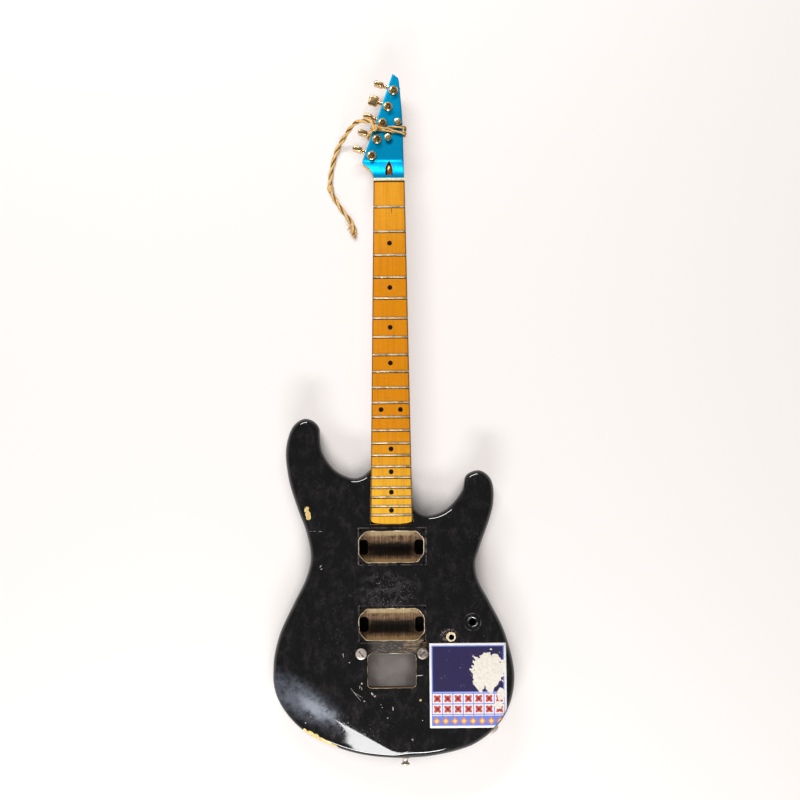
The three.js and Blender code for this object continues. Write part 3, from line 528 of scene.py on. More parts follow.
# Worn places of the lacquer: middle, half sizes, squareness, grit, how much is left, tint and share
WORN = (
    ((-8, -556), (46, 33), False, (11, 9), 0.42, "#2b282a", 0.7),
    ((-2, -560), (40, 31), False, (2.0, 2.2), 0.53, "#928b88", 0.85),
    ((5, -630.3), (40, 11.5), True, (16, 2.2), 0.24, "#3c352f", 0.95),
    ((4, -630.3), (38, 10.5), True, (6, 1.1), 0.50, "#a2958a", 0.8),
    ((30, -629), (18, 12), True, (8, 2.4), 0.42, "#94795a", 0.8),
    ((-60, -600), (62, 62), False, (4, 4), 0.55, "#434041", 0.6),
    ((60, -560), (60, 60), False, (4, 4), 0.57, "#434041", 0.6),
    ((0, -715), (90, 40), False, (3, 3), 0.57, "#5a5656", 0.6),
    ((112, -482), (14, 16), False, (2, 2), 0.55, "#6c6967", 0.7),
    (tuple(np.array(TONE_HOLE[:2]) + (-4, 3)), (13, 10), False, (3, 3), 0.42, "#8d7f78", 0.7),
)
# Painted reflection along the forearm slope, a soft grey-blue sheen: middle, half sizes and tint
PAINTED_ARM_SHEEN = (((-122, -699), (86, 32), "#62656f"), ((-100, -711), (42, 16), "#9599a3"))
# Outlines that mountings have left on the lacquer, and a painted highlight on the volume hole's bevel:
# middle, half sizes, squareness, width, tint and share
PRINTS_AND_BEVEL_GLINT = (
    ((0.6, NECK_PICKUP_Y + 0.6), (45.2, 24.7), True, 0.018, "#8f827b", 0.55),
    ((-0.2, BRIDGE_PICKUP_Y + 0.4), (44.2, 24.7), True, 0.018, "#756962", 0.5),
    (VOLUME_HOLE[:2], (11.3, 11.3), False, 0.06, "#6a6664", 0.7),
    # Painted highlight: a pale ring on the volume hole's bevel
    (VOLUME_HOLE[:2], (6.3, 6.3), False, 0.10, "#aaa5a2", 0.85),
)


def black_lacquer():
    """Black lacquer sprayed on wood and polished: deep gloss, clouded by handling, with hairlines, dust,
    fields of pitted wear and the outlines of lost mountings. A grey-blue sheen on the forearm slope is a
    painted reflection, and a pale ring on the volume hole's bevel a painted highlight. Hairlines are a
    twentieth of a millimetre wide, and drawn at half a millimetre so that they show."""
    material, tree, shader, place = begin("black_lacquer")
    upper = on_top(tree, place)
    haze = grain(tree, place, (15, 24, 15), 7, 0.78)
    colour = over(tree, linear("#111011"), haze, 0.44, 0.8, "#322e30")
    dull = None
    for turn, length, limit in ((0.5, 26, 0.76), (1.25, 20, 0.765), (-0.7, 32, 0.77)):
        turned_place = add(tree, "Mapping", {"Vector": place, "Rotation": (0, 0, turn)})
        line = grain(tree, turned_place, (length, 0.5, 20), 1)
        colour = over(tree, colour, line, limit, limit + 0.04, "#6a6766", 0.5)
    dust = add(tree, "TexVoronoi", {"Vector": place, "Scale": per(13)})
    reach = span(tree, grain(tree, place, (60, 60, 60), 2), 0.45, 0.75, 0, 0.07)
    near = calc(tree, "SUBTRACT", reach, dust)
    colour = over(tree, colour, near, 0.0, 0.012, "#bdb8b3", 0.6)
    for centre, size, square, grit, limit, tint, most in WORN:
        away = zone(tree, upper, spot(*centre), size, square)
        pits = grain(tree, place, (*grit, 2), 5, 0.7)
        edge = span(tree, away, 1.1, 0.6, eased=True)
        bare = span(tree, pits, limit, limit + 0.2, eased=True)
        field = calc(tree, "MULTIPLY", edge, bare)
        colour = over(tree, colour, field, 0.0, 1.0, tint, most)
        dull = field if dull is None else calc(tree, "MAXIMUM", dull, field)
    broken = grain(tree, place, (9, 9, 9), 4, 0.7)
    # Painted reflection: the grey-blue sheen on the forearm slope
    for centre, size, tint in PAINTED_ARM_SHEEN:
        away = zone(tree, upper, spot(*centre), size, False, ARM_TURN)
        near = span(tree, away, 1.1, 0.1)
        field = calc(tree, "MULTIPLY", near, broken)
        colour = over(tree, colour, field, 0.08, 0.52, tint, 0.9)
    # Mounting outlines, and the painted highlight on the volume hole's bevel
    for centre, size, square, width, tint, most in PRINTS_AND_BEVEL_GLINT:
        away = zone(tree, upper, spot(*centre), size, square)
        off = calc(tree, "COMPARE", away, 1.0, width)
        field = calc(tree, "MULTIPLY", off, broken)
        colour = over(tree, colour, field, 0.42, 0.62, tint, most)
    gloss = span(tree, haze, 0.4, 0.8, 0.03, 0.1)
    rough = calc(tree, "MULTIPLY_ADD", dull, 0.4, gloss)
    dress(tree, shader, colour, rough, dull, -0.08, 0.58)
    return material


def wood(name, light, dark, stain, stained, depth, painted_light_zones=()):
    """Bare basswood or maple cut along its grain: matt streaks along y about a millimetre wide, with grime
    that gathers in patches. Zones of a rout's floor may carry painted light and shade: paler where a lamp
    would light it, near black as painted shadow."""
    material, tree, shader, place = begin(name)
    streak = grain(tree, place, (1.6, 30, 1.6))
    colour = over(tree, linear(light), streak, 0.32, 0.68, dark)
    grime = grain(tree, place, (9, 9, 9), 5, 0.7)
    colour = over(tree, colour, grime, stained, stained + 0.3, stain)
    # Painted light and shade: bands of the rout's floor made paler or near black
    for centre, size, tint, most in painted_light_zones:
        away = zone(tree, on_top(tree, place), spot(*centre), size, True)
        blurred = calc(tree, "MULTIPLY_ADD", grime, 0.8, away)
        colour = over(tree, colour, blurred, 1.5, 0.9, tint, most)
    rough = span(tree, grime, 0.3, 0.7, 0.75, 0.9)
    dress(tree, shader, colour, rough, streak, depth, 0.2)
    return material


def amber_maple():
    """Maple under thick yellowed lacquer: gloss over fine streaks along the neck, yellower at the heel, with
    dirt worked in, a check in the wood past the first fret, and painted light and shade: a paler sheen
    towards the nut, shade along the board's rolled edges and a shadow line just past the nut."""
    material, tree, shader, place = begin("amber_maple")
    local = add(tree, "Mapping", {"Vector": place, "Location": spot(0, 0), "Scale": (MM, MM, MM)},
                vector_type="TEXTURE")
    y = add(tree, "SeparateXYZ", {0: local}, 1)
    x = calc(tree, "ABSOLUTE", add(tree, "SeparateXYZ", {0: local}))
    colour = over(tree, linear("#ffc037"), y, -440, -330, "#e68f0a")
    # Paler towards the nut: a painted sheen
    colour = over(tree, colour, y, -130, -10, "#f5a826")
    streak = grain(tree, place, (2.2, 95, 2.2), 6, 0.62)
    colour = over(tree, colour, streak, 0.38, 0.74, "#c8740c", 0.5)
    flame = grain(tree, place, (14, 1.5, 14), 3)
    colour = over(tree, colour, flame, 0.54, 0.8, "#ffc452", 0.25)
    colour = over(tree, colour, flame, 0.44, 0.24, "#d07c0e", 0.35)
    dirt = grain(tree, place, (16, 16, 16), 6, 0.7)
    colour = over(tree, colour, dirt, 0.58, 0.8, "#8e5410", 0.5)
    face = on_top(tree, place, BOARD_TOP - 4)
    # Painted shade: darker towards the board's rolled edges, up to the nut
    taper = (HEEL_WIDTH - NUT_WIDTH) / 2 / -HEEL_END
    past_nut = calc(tree, "MAXIMUM", y, 0.0)
    edge = calc(tree, "MULTIPLY_ADD", y, taper, x)
    edge = calc(tree, "MULTIPLY_ADD", past_nut, -30.0, edge)
    colour = over(tree, colour, edge, NUT_WIDTH / 2 - 2.2, NUT_WIDTH / 2 - 0.8, "#6b390b", 0.85)
    colour = over(tree, colour, zone(tree, face, spot(3.0, -41.5), (0.5, 5.5)), 1.1, 0.6, "#4a2506", 0.9)
    # Painted shadow: a dark line on the board just past the nut
    colour = over(tree, colour, zone(tree, face, spot(0, -1.2), (40, 1.2), True), 1.2, 0.8, "#4d2a0a", 0.9)
    rough = span(tree, dirt, 0.35, 0.75, 0.24, 0.5)
    dress(tree, shader, colour, rough, streak, 0.02, 0.3)
    return material


def blue_paint():
    """Metallic blue paint: fine flakes in blue lacquer, rubbed through to wood in flecks near the break.
    Flakes are a tenth of a millimetre, and drawn at 0.7 mm so that they show."""
    material, tree, shader, place = begin("blue_paint")
    specks = add(tree, "TexVoronoi", {"Vector": place, "Scale": per(0.7)})
    cloud = grain(tree, place, (14, 14, 14), 5, 0.6)
    colour = over(tree, linear("#00aada"), specks, 0.0, 1.0, "#0090c6")
    colour = over(tree, colour, cloud, 0.4, 0.75, "#007cae", 0.5)
    y = add(tree, "SeparateXYZ", {0: place}, 1)
    tip = span(tree, y, spot(0, 138)[1], spot(0, 156)[1], 0, 0.1)
    lost = calc(tree, "ADD", grain(tree, place, (3.2, 3.2, 3.2), 4), tip)
    colour = over(tree, colour, lost, 0.715, 0.735, "#d9bd88")
    rough = span(tree, cloud, 0.3, 0.7, 0.36, 0.46)
    dress(tree, shader, colour, rough, specks, 0.01, 0.1, 0.75)
    return material


def metal(name, bright, dull, patch, sleek, coarse, pure=1.0, rust=None):
    """Plated or polished metal: bright where it is rubbed, tarnished in patches, with rust if it has any."""
    material, tree, shader, place = begin(name)
    tarnish = grain(tree, place, (patch, patch, patch), 6, 0.65)
    colour = over(tree, linear(bright), tarnish, 0.42, 0.68, dull)
    rough = span(tree, tarnish, 0.35, 0.7, sleek, coarse)
    relief = tarnish
    if rust:
        relief = grain(tree, place, (2.4, 2.4, 2.4), 6, 0.75)
        colour = over(tree, colour, relief, 0.55, 0.66, rust)
    dress(tree, shader, colour, rough, relief, 0.1 if rust else 0.02, metallic=pure)
    return material


def plain(name, light, dark, grit, sleek, coarse, shine=0.5):
    """Moulded or polished solid colour, such as bone, plastic or packed dirt, with faint mottling."""
    material, tree, shader, place = begin(name)
    mottle = grain(tree, place, (grit, grit, grit), 5, 0.6)
    colour = over(tree, linear(light), mottle, 0.25, 0.75, dark)
    rough = span(tree, mottle, 0.3, 0.7, sleek, coarse)
    dress(tree, shader, colour, rough, mottle, 0.015, shine)
    return material


def sisal_fibre():
    """Sisal twine: dry straw fibres that run along each ply, read from the ply's own coordinates. Points low
    in the groove between the plies are darkened: painted shade.
    """
    material, tree, shader, _ = begin("sisal_fibre")
    along = add(tree, "Attribute", out="Vector", attribute_name="fibre")
    fibre = add(tree, "TexNoise", {"Vector": along, "Scale": 2.6, "Detail": 5, "Roughness": 0.7})
    colour = over(tree, linear("#ffde94"), fibre, 0.36, 0.7, "#cb8530")
    pale = add(tree, "TexNoise", {"Vector": along, "Scale": 0.7, "Detail": 3})
    colour = over(tree, colour, pale, 0.5, 0.72, "#ffe9b8", 0.6)
    # Painted shade: darker low in the groove between the plies
    crest = add(tree, "Attribute", out="Fac", attribute_name="crest")
    colour = over(tree, colour, crest, 0.84, 0.55, "#74430f", 0.85)
    rough = span(tree, fibre, 0.3, 0.7, 0.75, 0.9)
    dress(tree, shader, colour, rough, fibre, 0.35, 0.3)
    return material


LACQUER = black_lacquer()
# Painted light and shade across each rout's floor: a lit top band, painted shadow, a lit bottom band
ROUT_LIGHT_AND_SHADE_BANDS = ((20.5, 6.5, "#f0dcae", 0.45), (-3, 11.5, "#0b0806", 0.95), (-20, 5, "#c9a878", 0.6))
ROUT_PAINTED_LIGHT_ZONES = [((ROUT_X, rout_y + y), (42, half), tint, most)
               for rout_y in PICKUPS for y, half, tint, most in ROUT_LIGHT_AND_SHADE_BANDS]
RAW_WOOD = wood("routed_wood", "#a5876a", "#594433", "#241a12", 0.46, 0.25, ROUT_PAINTED_LIGHT_ZONES)
# Near-black wood: painted shade deep in the pickup legs, the ring screws' holes and the volume hole's bore
SHADE_DARK_WOOD = wood("wood_dark_with_painted_shade", "#2c2018", "#18110c", "#0a0705", 0.4, 0.25)
EDGE_WOOD = wood("worn_edge", "#fbeed2", "#dcc294", "#6b5136", 0.6, 0.1)
BARE_WOOD = wood("bare_wood", "#f3dca0", "#d9b468", "#8f6a38", 0.62, 0.1)
SPLIT_WOOD = wood("split_maple", "#e9cf9c", "#b98d55", "#6d4a26", 0.6, 0.35)
SCUFF = plain("scuffed_lacquer", "#c9c4bd", "#8b857f", 1.5, 0.6, 0.8)
MAPLE = amber_maple()
BLUE = blue_paint()
FRET_WIRE = metal("fret_wire", "#c2b59b", "#8c7955", 8, 0.34, 0.5, 0.6)
# Dark fill: dirt in the slots, and painted shadow along each fret's side towards the body
DIRT_AND_PAINTED_SHADOW = plain("dirt_and_painted_shadow", "#3a220d", "#1a0e05", 1.5, 0.6, 0.8, 0.2)
GOLD = metal("worn_gold_plate", "#ffe4b0", "#a07a42", 3.2, 0.24, 0.42)
BUTTON_GOLD = metal("handled_gold_plate", "#f4d6a2", "#6d4924", 2.6, 0.18, 0.38)
# Darker gold for the posts: tarnish, and painted shade for the dark their tops mirror
POST_GOLD_TARNISH_AND_SHADE = metal("tarnished_and_shaded_gold_plate", "#b88d52", "#523a1e", 2.0, 0.28, 0.48)
STEEL = metal("worn_steel", "#d9ccc0", "#a3968b", 3.0, 0.34, 0.55, 0.55, "#6a4c36")
GRIMY_STEEL = metal("grimy_steel", "#a89b90", "#564b43", 2.2, 0.4, 0.6, 0.5, "#33261d")
NICKEL = metal("nickel_plate", "#d6d0c6", "#9d958a", 9, 0.16, 0.34)
BRASS = metal("truss_nut_brass", "#e9b070", "#a56d38", 2.5, 0.22, 0.45)
BONE = plain("bone", "#fbf8e2", "#e6dfb8", 3, 0.3, 0.5)
PLASTIC = plain("black_plastic", "#191919", "#262626", 1.2, 0.38, 0.55)
DOT_BLACK = plain("dot_black", "#0d0603", "#1a0d06", 2, 0.4, 0.55, 0.2)
SISAL = sisal_fibre()


# Twine
TAIL_ROUTE = [
    (-19.8, 80.6, 46.8), (-21.8, 83.8, 46.2), (-25.6, 86, 44.4), (-31, 87.4, 41.6), (-38, 88, 38.2),
    (-44.7, 87.4, 33.6), (-50.4, 84.2, 27.6), (-56.4, 78.6, 20.4), (-62.4, 71.8, 13), (-68, 64.4, 7),
    (-72.6, 56, 3.6), (-76, 46.2, 2.6), (-79, 34.3, 2.5), (-81, 24.6, 2.5), (-82.2, 14.6, 2.6),
    (-82, 1.6, 3.7), (-79, -7.8, 2.6), (-73.5, -17.4, 2.5), (-66.4, -28.6, 2.5), (-59.4, -37.6, 2.5),
    (-53.4, -46, 2.5), (-50, -54, 2.5), (-49.2, -62, 2.5),
]
PLY_RADIUS = 2.0
PLY_OFFSET = 1.5
TWINE_PITCH = 36.0
TIGHT = 0.6
FLOOR_GAP = 0.05
TAIL_KNOT = TAIL_ROUTE[15]
PLY_STEP = 1.1
KNOT_STEP = 0.5
TAIL_FUZZ, TURN_FUZZ = 260, 60
TIP_YARNS, TIP_HAIRS, STUB_HAIRS = 40, 60, 14


def twisted(path, thin=1.0):
    """Two plies wound round a path, each a tube that swells and thins a little along its length."""
    path = evenly(path, PLY_STEP)
    _, side, other = carried_frame(path)
    along = np.arange(len(path)) * PLY_STEP
    plies = []
    for start in (0, np.pi):
        angle = start + 2 * np.pi * along / TWINE_PITCH
        offset = np.cos(angle)[:, None] * side + np.sin(angle)[:, None] * other
        wander = 1 + ripple(len(path), max(len(path) // 7, 3), 0.07, closed=False)
        plies.append(tube(path + thin * PLY_OFFSET * offset, thin * PLY_RADIUS * wander, 10))
    points, faces, tags = joined(*plies)
    points[:, 2] = np.maximum(points[:, 2], FLOOR_GAP)
    return points, faces, tags


def hairs(places, ways, length, thick=0.09):
    """Single fibres: thin three-sided spikes that bend once, from given places in given directions."""
    shapes = []
    for place, way in zip(places, ways):
        reach = length * rng.uniform(0.5, 1.2)
        bend = way + rng.normal(0, 0.35, 3)
        line = np.array([place, place + way * reach * 0.5, place + way * reach * 0.5 + bend * reach * 0.5])
        line[:, 2] = np.maximum(line[:, 2], 0.3)
        shapes.append(tube(line, np.array([thick, thick * 0.8, thick * 0.2]), 3))
    return joined(*shapes)


def fibre_attribute(piece, path, thin=1.0):
    """Stores, at each point of a twine, a vector for its fibre pattern: its place, stretched so that the
    pattern is long in plan and short round the ply. A second value says how far the point stands out from
    the twine's middle, as a share of the plies' reach: low in the groove between them."""
    count = len(piece.data.vertices)
    place = np.zeros(count * 3, np.float32)
    piece.data.vertices.foreach_get("co", place)
    value = place.reshape(-1, 3) * np.array([0.35, 0.35, 0.9]) / MM
    layer = piece.data.attributes.new("fibre", "FLOAT_VECTOR", "POINT")
    layer.data.foreach_set("vector", value.astype(np.float32).ravel())
    points = (place.reshape(-1, 3) - SHIFT) / MM
    away = np.full(count, 1e9)
    for block in np.array_split(np.arange(count), max(count // 1500, 1)):
        away[block] = np.sqrt(((points[block][:, None] - path) ** 2).sum(2).min(1))
    crest = piece.data.attributes.new("crest", "FLOAT", "POINT")
    crest.data.foreach_set("value", (away / (thin * (PLY_OFFSET + PLY_RADIUS))).astype(np.float32))


def fuzz(path, count, length):
    """Stray fibres that stand off a twine along its whole length."""
    path = evenly(path, 1.0)
    way, side, other = carried_frame(path)
    pick = rng.integers(1, len(path) - 1, count)
    angle = rng.uniform(0, 2 * np.pi, count)
    off = np.cos(angle)[:, None] * side[pick] + np.sin(angle)[:, None] * other[pick]
    places = path[pick] + off * TWINE_RADIUS * 0.75
    ways = off * rng.uniform(0.2, 0.8, (count, 1)) + way[pick] * rng.choice([-1, 1], (count, 1))
    return hairs(places, ways / np.linalg.norm(ways, axis=1, keepdims=True), length)


def wraps(path, at, turns, reach, radius):
    """A small overhand knot: a ply wound a few times round the twine at one place."""
    path = evenly(path, KNOT_STEP)
    _, side, other = carried_frame(path)
    middle = np.argmin(np.linalg.norm(path - np.array(at), axis=1))
    t = np.linspace(-1, 1, 40)
    index = np.clip((middle + t * reach / KNOT_STEP).astype(int), 0, len(path) - 1)
    angle = t * turns * np.pi
    ring = np.cos(angle)[:, None] * side[index] + np.sin(angle)[:, None] * other[index]
    line = path[index] + radius * (1 - 0.25 * t**2)[:, None] * ring
    line[:, 2] = np.maximum(line[:, 2], 1.6)
    return tube(line, 1.5, 8)


def yarns(path, count, reach):
    """The unlaid end of a twine: yarns that leave it one by one and fan out, each a bent tapering tube."""
    shapes = []
    for _ in range(count):
        start = path[-rng.integers(4, 26)] + rng.normal(0, 0.9, 3)
        angle = rng.normal(0.0, 0.45)
        way = np.array([math.sin(angle), -math.cos(angle), rng.uniform(-0.05, 0.12)])
        bend = way + rng.normal(0, 0.2, 3)
        length = reach * rng.uniform(0.6, 1.15)
        t = np.linspace(0, 1, 7)[:, None]
        line = start + length * (way * t * (1 - t / 2) + bend * t**2 / 2)
        line[:, 2] = np.maximum(line[:, 2], 0.6)
        shapes.append(tube(line, np.linspace(0.6, 0.25, 7) * rng.uniform(0.7, 1.2), 6))
    return joined(*shapes)


def twine_tail():
    """The loose end, from the knot over the edge to the floor, with a small knot and a frayed tip."""
    path = catmull(TAIL_ROUTE, 10)
    end, count = path[-1], TIP_HAIRS
    angle = rng.uniform(-0.75, 0.75, count)
    lift = rng.uniform(-0.1, 0.35, count)
    ways = np.column_stack([np.sin(angle), -np.cos(angle), lift])
    around = [rng.normal(0, 2.0, count), rng.uniform(-4, 7, count), rng.normal(0.3, 0.6, count)]
    shape = joined(twisted(path), wraps(path, TAIL_KNOT, 3, 3.6, 3.3))
    strays = joined(fuzz(path, TAIL_FUZZ, 4.5), yarns(path, TIP_YARNS, 10),
                    hairs(end + np.column_stack(around), ways, 8, 0.16))
    piece = loose("twine_end", shape, [SISAL])
    fray = loose("twine_fray", strays, [SISAL])
    for part in (piece, fray):
        fibre_attribute(part, path)
    settle(fray, crease=60)
    return settle(piece, ["twine_tail"], crease=60), fray, path


def twine_lashing():
    """Two turns round the headstock with a knot on its face, and a short cut end."""
    hug = TWINE_RADIUS + 2 * SEAT_GAP
    bend = hug * math.sqrt(0.5)
    high, low = HEAD_FACE + hug, HEAD_BACK - hug
    middle = (high + low) / 2
    right, left = 19.5, -20.8
    first = [
        (-16, 75.8, high), (-8, 75.4, high + 0.6), (4, 76.3, high), (13, 76.8, high), (right, 76.8, high),
        (right + bend, 76.7, HEAD_FACE + bend), (right + hug, 76.6, HEAD_FACE - 1),
        (right + hug, 75.8, middle), (right + hug, 75, HEAD_BACK + 1),
        (right + bend, 74.6, HEAD_BACK - bend), (right, 74, low),
        (12, 72.6, low), (2, 71.3, low), (-5, 71.9, low), (-11.6, 74.1, low), (-17.6, 76.1, low),
        (left, 76.9, low), (left - bend, 77.5, HEAD_BACK - bend), (left - hug, 77.7, HEAD_BACK + 1),
        (left - hug, 77.7, middle), (left - hug, 77.5, HEAD_FACE - 1), (left - bend, 77, HEAD_FACE + bend),
        (-19.6, 76.3, high),
    ]
    second = [
        (-15.5, 74, high), (-10, 72.9, high), (-2, 72, high), (8, 70.7, high), (right, 69.2, high),
        (right + bend, 69, HEAD_FACE + bend), (right + hug, 69, HEAD_FACE - 1), (right + hug, 69, middle),
        (right + hug, 69.2, HEAD_BACK + 1), (right + bend, 69.4, HEAD_BACK - bend), (right, 69.8, low),
        (12, 71, low), (4, 71.4, low),
    ]
    stub = [(-20.5, 74.5, high), (-25.2, 70.5, high - 0.8), (-27.8, 66, high - 4.5), (-28.4, 62, high - 8)]
    turn = np.linspace(0, 2 * np.pi, 90)
    swing = (2 + np.cos(3 * turn)) / 3
    knot = np.column_stack([-18.4 + 3.9 * swing * np.cos(2 * turn), 76 + 4.1 * swing * np.sin(2 * turn),
                            high + 0.4 + 1.6 * np.sin(3 * turn)])
    paths = [catmull(p, 10) for p in (first, second, stub)]
    tip = paths[2][-1]
    ways = rng.normal(0, 0.3, (STUB_HAIRS, 3)) + np.array([0, -0.6, -0.8])
    shape = joined(*[twisted(p, TIGHT) for p in paths], tube(knot, 1.45, 9),
                   *[fuzz(p, TURN_FUZZ, 3.6) for p in paths],
                   hairs(np.repeat(tip[None], STUB_HAIRS, 0), ways, 5.0, 0.14))
    piece = loose("twine_turns", shape, [SISAL])
    fibre_attribute(piece, np.vstack(paths), TIGHT)
    return settle(piece, ["twine_lashing"], crease=60)


add_camera()
tail, fray, tail_path = twine_tail()
lashing = twine_lashing()


# Body
OUTLINE = np.array([
    (-118, 143.2), (-132.5, 133), (-142, 103), (-138.5, 62), (-126.5, 22), (-114.5, -11), (-109, -45),
    (-115.5, -72), (-131, -103.5), (-151, -147), (-159, -188), (-154, -229), (-122, -271), (-60, -300),
    (0, -308.5), (60, -305), (112, -289), (148, -255), (162, -207), (151, -148), (130.5, -104.5),
    (115.5, -75), (112.2, -53), (118, -32), (137.2, 28), (134, 60), (119, 71.7), (101, 65.5), (95, 45),
    (72, 19), (48, 12.2), (32, 21), (27.5, 39), (26.5, 62), (17, 77.5), (0, 80.5), (-18, 79), (-30, 72.5),
    (-37.5, 66), (-51, 62.5), (-75, 73.2), (-92.5, 98), (-95.8, 120), (-97, 131), (-105, 140.2),
]) + np.array([0, HEEL_END])
PLATE_Y = HEEL_END + 38
PICKUP_DEPTH = 17.0
LEG_DEPTH = 25.0
SHAFT_HOLE_DEPTH = 12.0
SCREW_HOLE_DEPTH = 8.0
CONTROL_ROOF = 10.0
SPRING_DEPTH = 15.0
PLATE_INSET = 2.6
COVER_INSET = 3.1
COVER_LEDGE = 6.0
PAST_FACE = 1.0
body_line = evenly(catmull(OUTLINE, 40, True), 2.4, True)


def top_of_body(flat):
    """Height of the top: level, then a slope under the player's forearm. A parabola joins the two."""
    past = flat @ ARM_AIM - ARM_START
    bend = np.clip(past + ARM_SOFT, 0, 2 * ARM_SOFT) ** 2 / (4 * ARM_SOFT) + np.clip(past - ARM_SOFT, 0, None)
    return BODY_THICKNESS - ARM_SLOPE * bend


def rim_radius(flat):
    """Radius of the top's round-over: smaller where the forearm slope runs out at the rim."""
    past = smooth((flat @ ARM_AIM - ARM_START) / ARM_SOFT)
    return EDGE_RADIUS - (EDGE_RADIUS - ARM_RIM_RADIUS) * past


def skin_of_body(flat):
    """Height of the top with its round-over, from the distance to the outline."""
    radius = rim_radius(flat)
    gap = np.clip(radius - nearest(flat, body_line), 0, radius)
    return top_of_body(flat) - radius + np.sqrt(radius**2 - gap**2)


def ragged(line, usual, wander, floor, top, far=0.0):
    """A rout's cutter: upright walls a little out of true, and a splintered edge that widens at the top. The
    edge on the side towards the neck is narrower by an amount of its own."""
    count = len(line)
    spread = ripple(count, max(count // 3, 8), wander)
    edge = np.clip(usual + spread - far * np.clip(outward(line)[:, 1], 0, 1), 0.12, None)
    rise = 0.8
    wall = ripple(count, max(count // 5, 6), 0.22)
    levels = [(floor, wall * 0.6 - 0.2), (floor + 1.2, wall), (top - 1.2 * edge, wall * 0.3),
              (top + rise, edge + rise / 1.2)]
    return plug(line, levels, [0, 0, 1])


def octagon(y):
    """Plan of a pickup rout: a rectangle with its four corners cut off and softened by averaging."""
    half_length, half_depth, side, end = 43.25, 20.75, 10.0, 34.0
    corners = [(half_length, -side), (half_length, side), (end, half_depth), (-end, half_depth),
               (-half_length, side), (-half_length, -side), (-end, -half_depth), (end, -half_depth)]
    line = evenly(np.array(corners) + np.array([ROUT_X, y]), 1.6, True)
    for _ in range(4):
        line = (np.roll(line, 1, 0) + 2 * line + np.roll(line, -1, 0)) / 4
    return line


def flake(x, y, length, width, angle, depth=0.35, count=18):
    """A chip in the lacquer: a shallow, uneven oval cut into the skin where it lies."""
    turn = np.linspace(0, 2 * np.pi, count, endpoint=False)
    reach = 1 + ripple(count, count // 2, 0.22)
    oval = np.column_stack([length / 2 * np.cos(turn), width / 2 * np.sin(turn)]) * reach[:, None]
    cos, sin = math.cos(angle), math.sin(angle)
    line = oval @ np.array([[cos, sin], [-sin, cos]]) + np.array([x, y])
    height = skin_of_body(line)
    return plug(line, [(height - depth, 0), (height + 1.5, 0.6)])


CONTROLS = (93, HEEL_END - 179.5, 62, 117, 14)
# Chips down to the wood and pale scuffs: place, length, width and angle
CHIPS = [
    (-114.2, -447.0, 8, 5.2, 1.2), (-112.4, -452.2, 11, 7, 1.9), (-110.8, -457.6, 6.5, 6, 1.5),
    (36.6, -700.5, 2.6, 2.4, 0.4),
]
SCUFFS = [
    (-65.5, -640.9, 0.9, 6, 0.1), (-57.4, -650.5, 1.8, 1.8, 0), (-40.9, -677.9, 2.2, 2.0, 0.3),
    (-37.5, -701.1, 1.9, 1.8, 0), (-27.3, -691.6, 2.2, 4.6, 0.7), (-23.6, -694.6, 3.2, 1.6, 0.4),
    (-14.1, -709.5, 1.3, 1.6, 0.5), (-15.6, -705.8, 1.0, 1.2, 0), (0, -710.6, 1.2, 5.4, 0.05),
    (25.6, -751.4, 2.0, 2.2, 0), (-48.7, -692.8, 22, 0.5, -0.89), (-47, -692.4, 17, 0.5, -0.52),
    (-109.4, -721.4, 1.4, 1.4, 0), (-116.4, -729.5, 1.6, 1.6, 0), (-7.1, -723.3, 1.2, 1.2, 0),
    (-95.4, -523.2, 1.0, 3.6, -0.6), (-93.8, -526.6, 2.6, 1.0, 0.3), (-105, -476.2, 8, 0.7, 0.05),
    (-95.2, -476.6, 4, 0.6, -0.1), (35.5, -667.9, 7.5, 1.2, 0.05), (38.9, -726.7, 1.8, 1.6, 0),
    (-44.0, -683.0, 0.8, 5.5, -0.2), (-41.2, -684.4, 0.8, 5.0, 0.5),
]
RIM_CHIPS = [
    (-116.5, -740.8, 8, 5, -0.6), (-110.5, -744.2, 11, 6, -0.5), (-104, -748.0, 11, 5.6, -0.52),
    (-97.5, -751.6, 11, 5.8, -0.5), (-91, -754.8, 11, 5.2, -0.45), (-84.5, -757.8, 10, 4.6, -0.42),
    (-78, -760.4, 9, 3.8, -0.4),
]
RIM_CHIP_DEPTH = 1.5
SCUFF_DEPTH = 0.1
RING_SCREWS = [(x, y) for x in (-41.6, 42.8) for y in (-21.8, 21.8)]


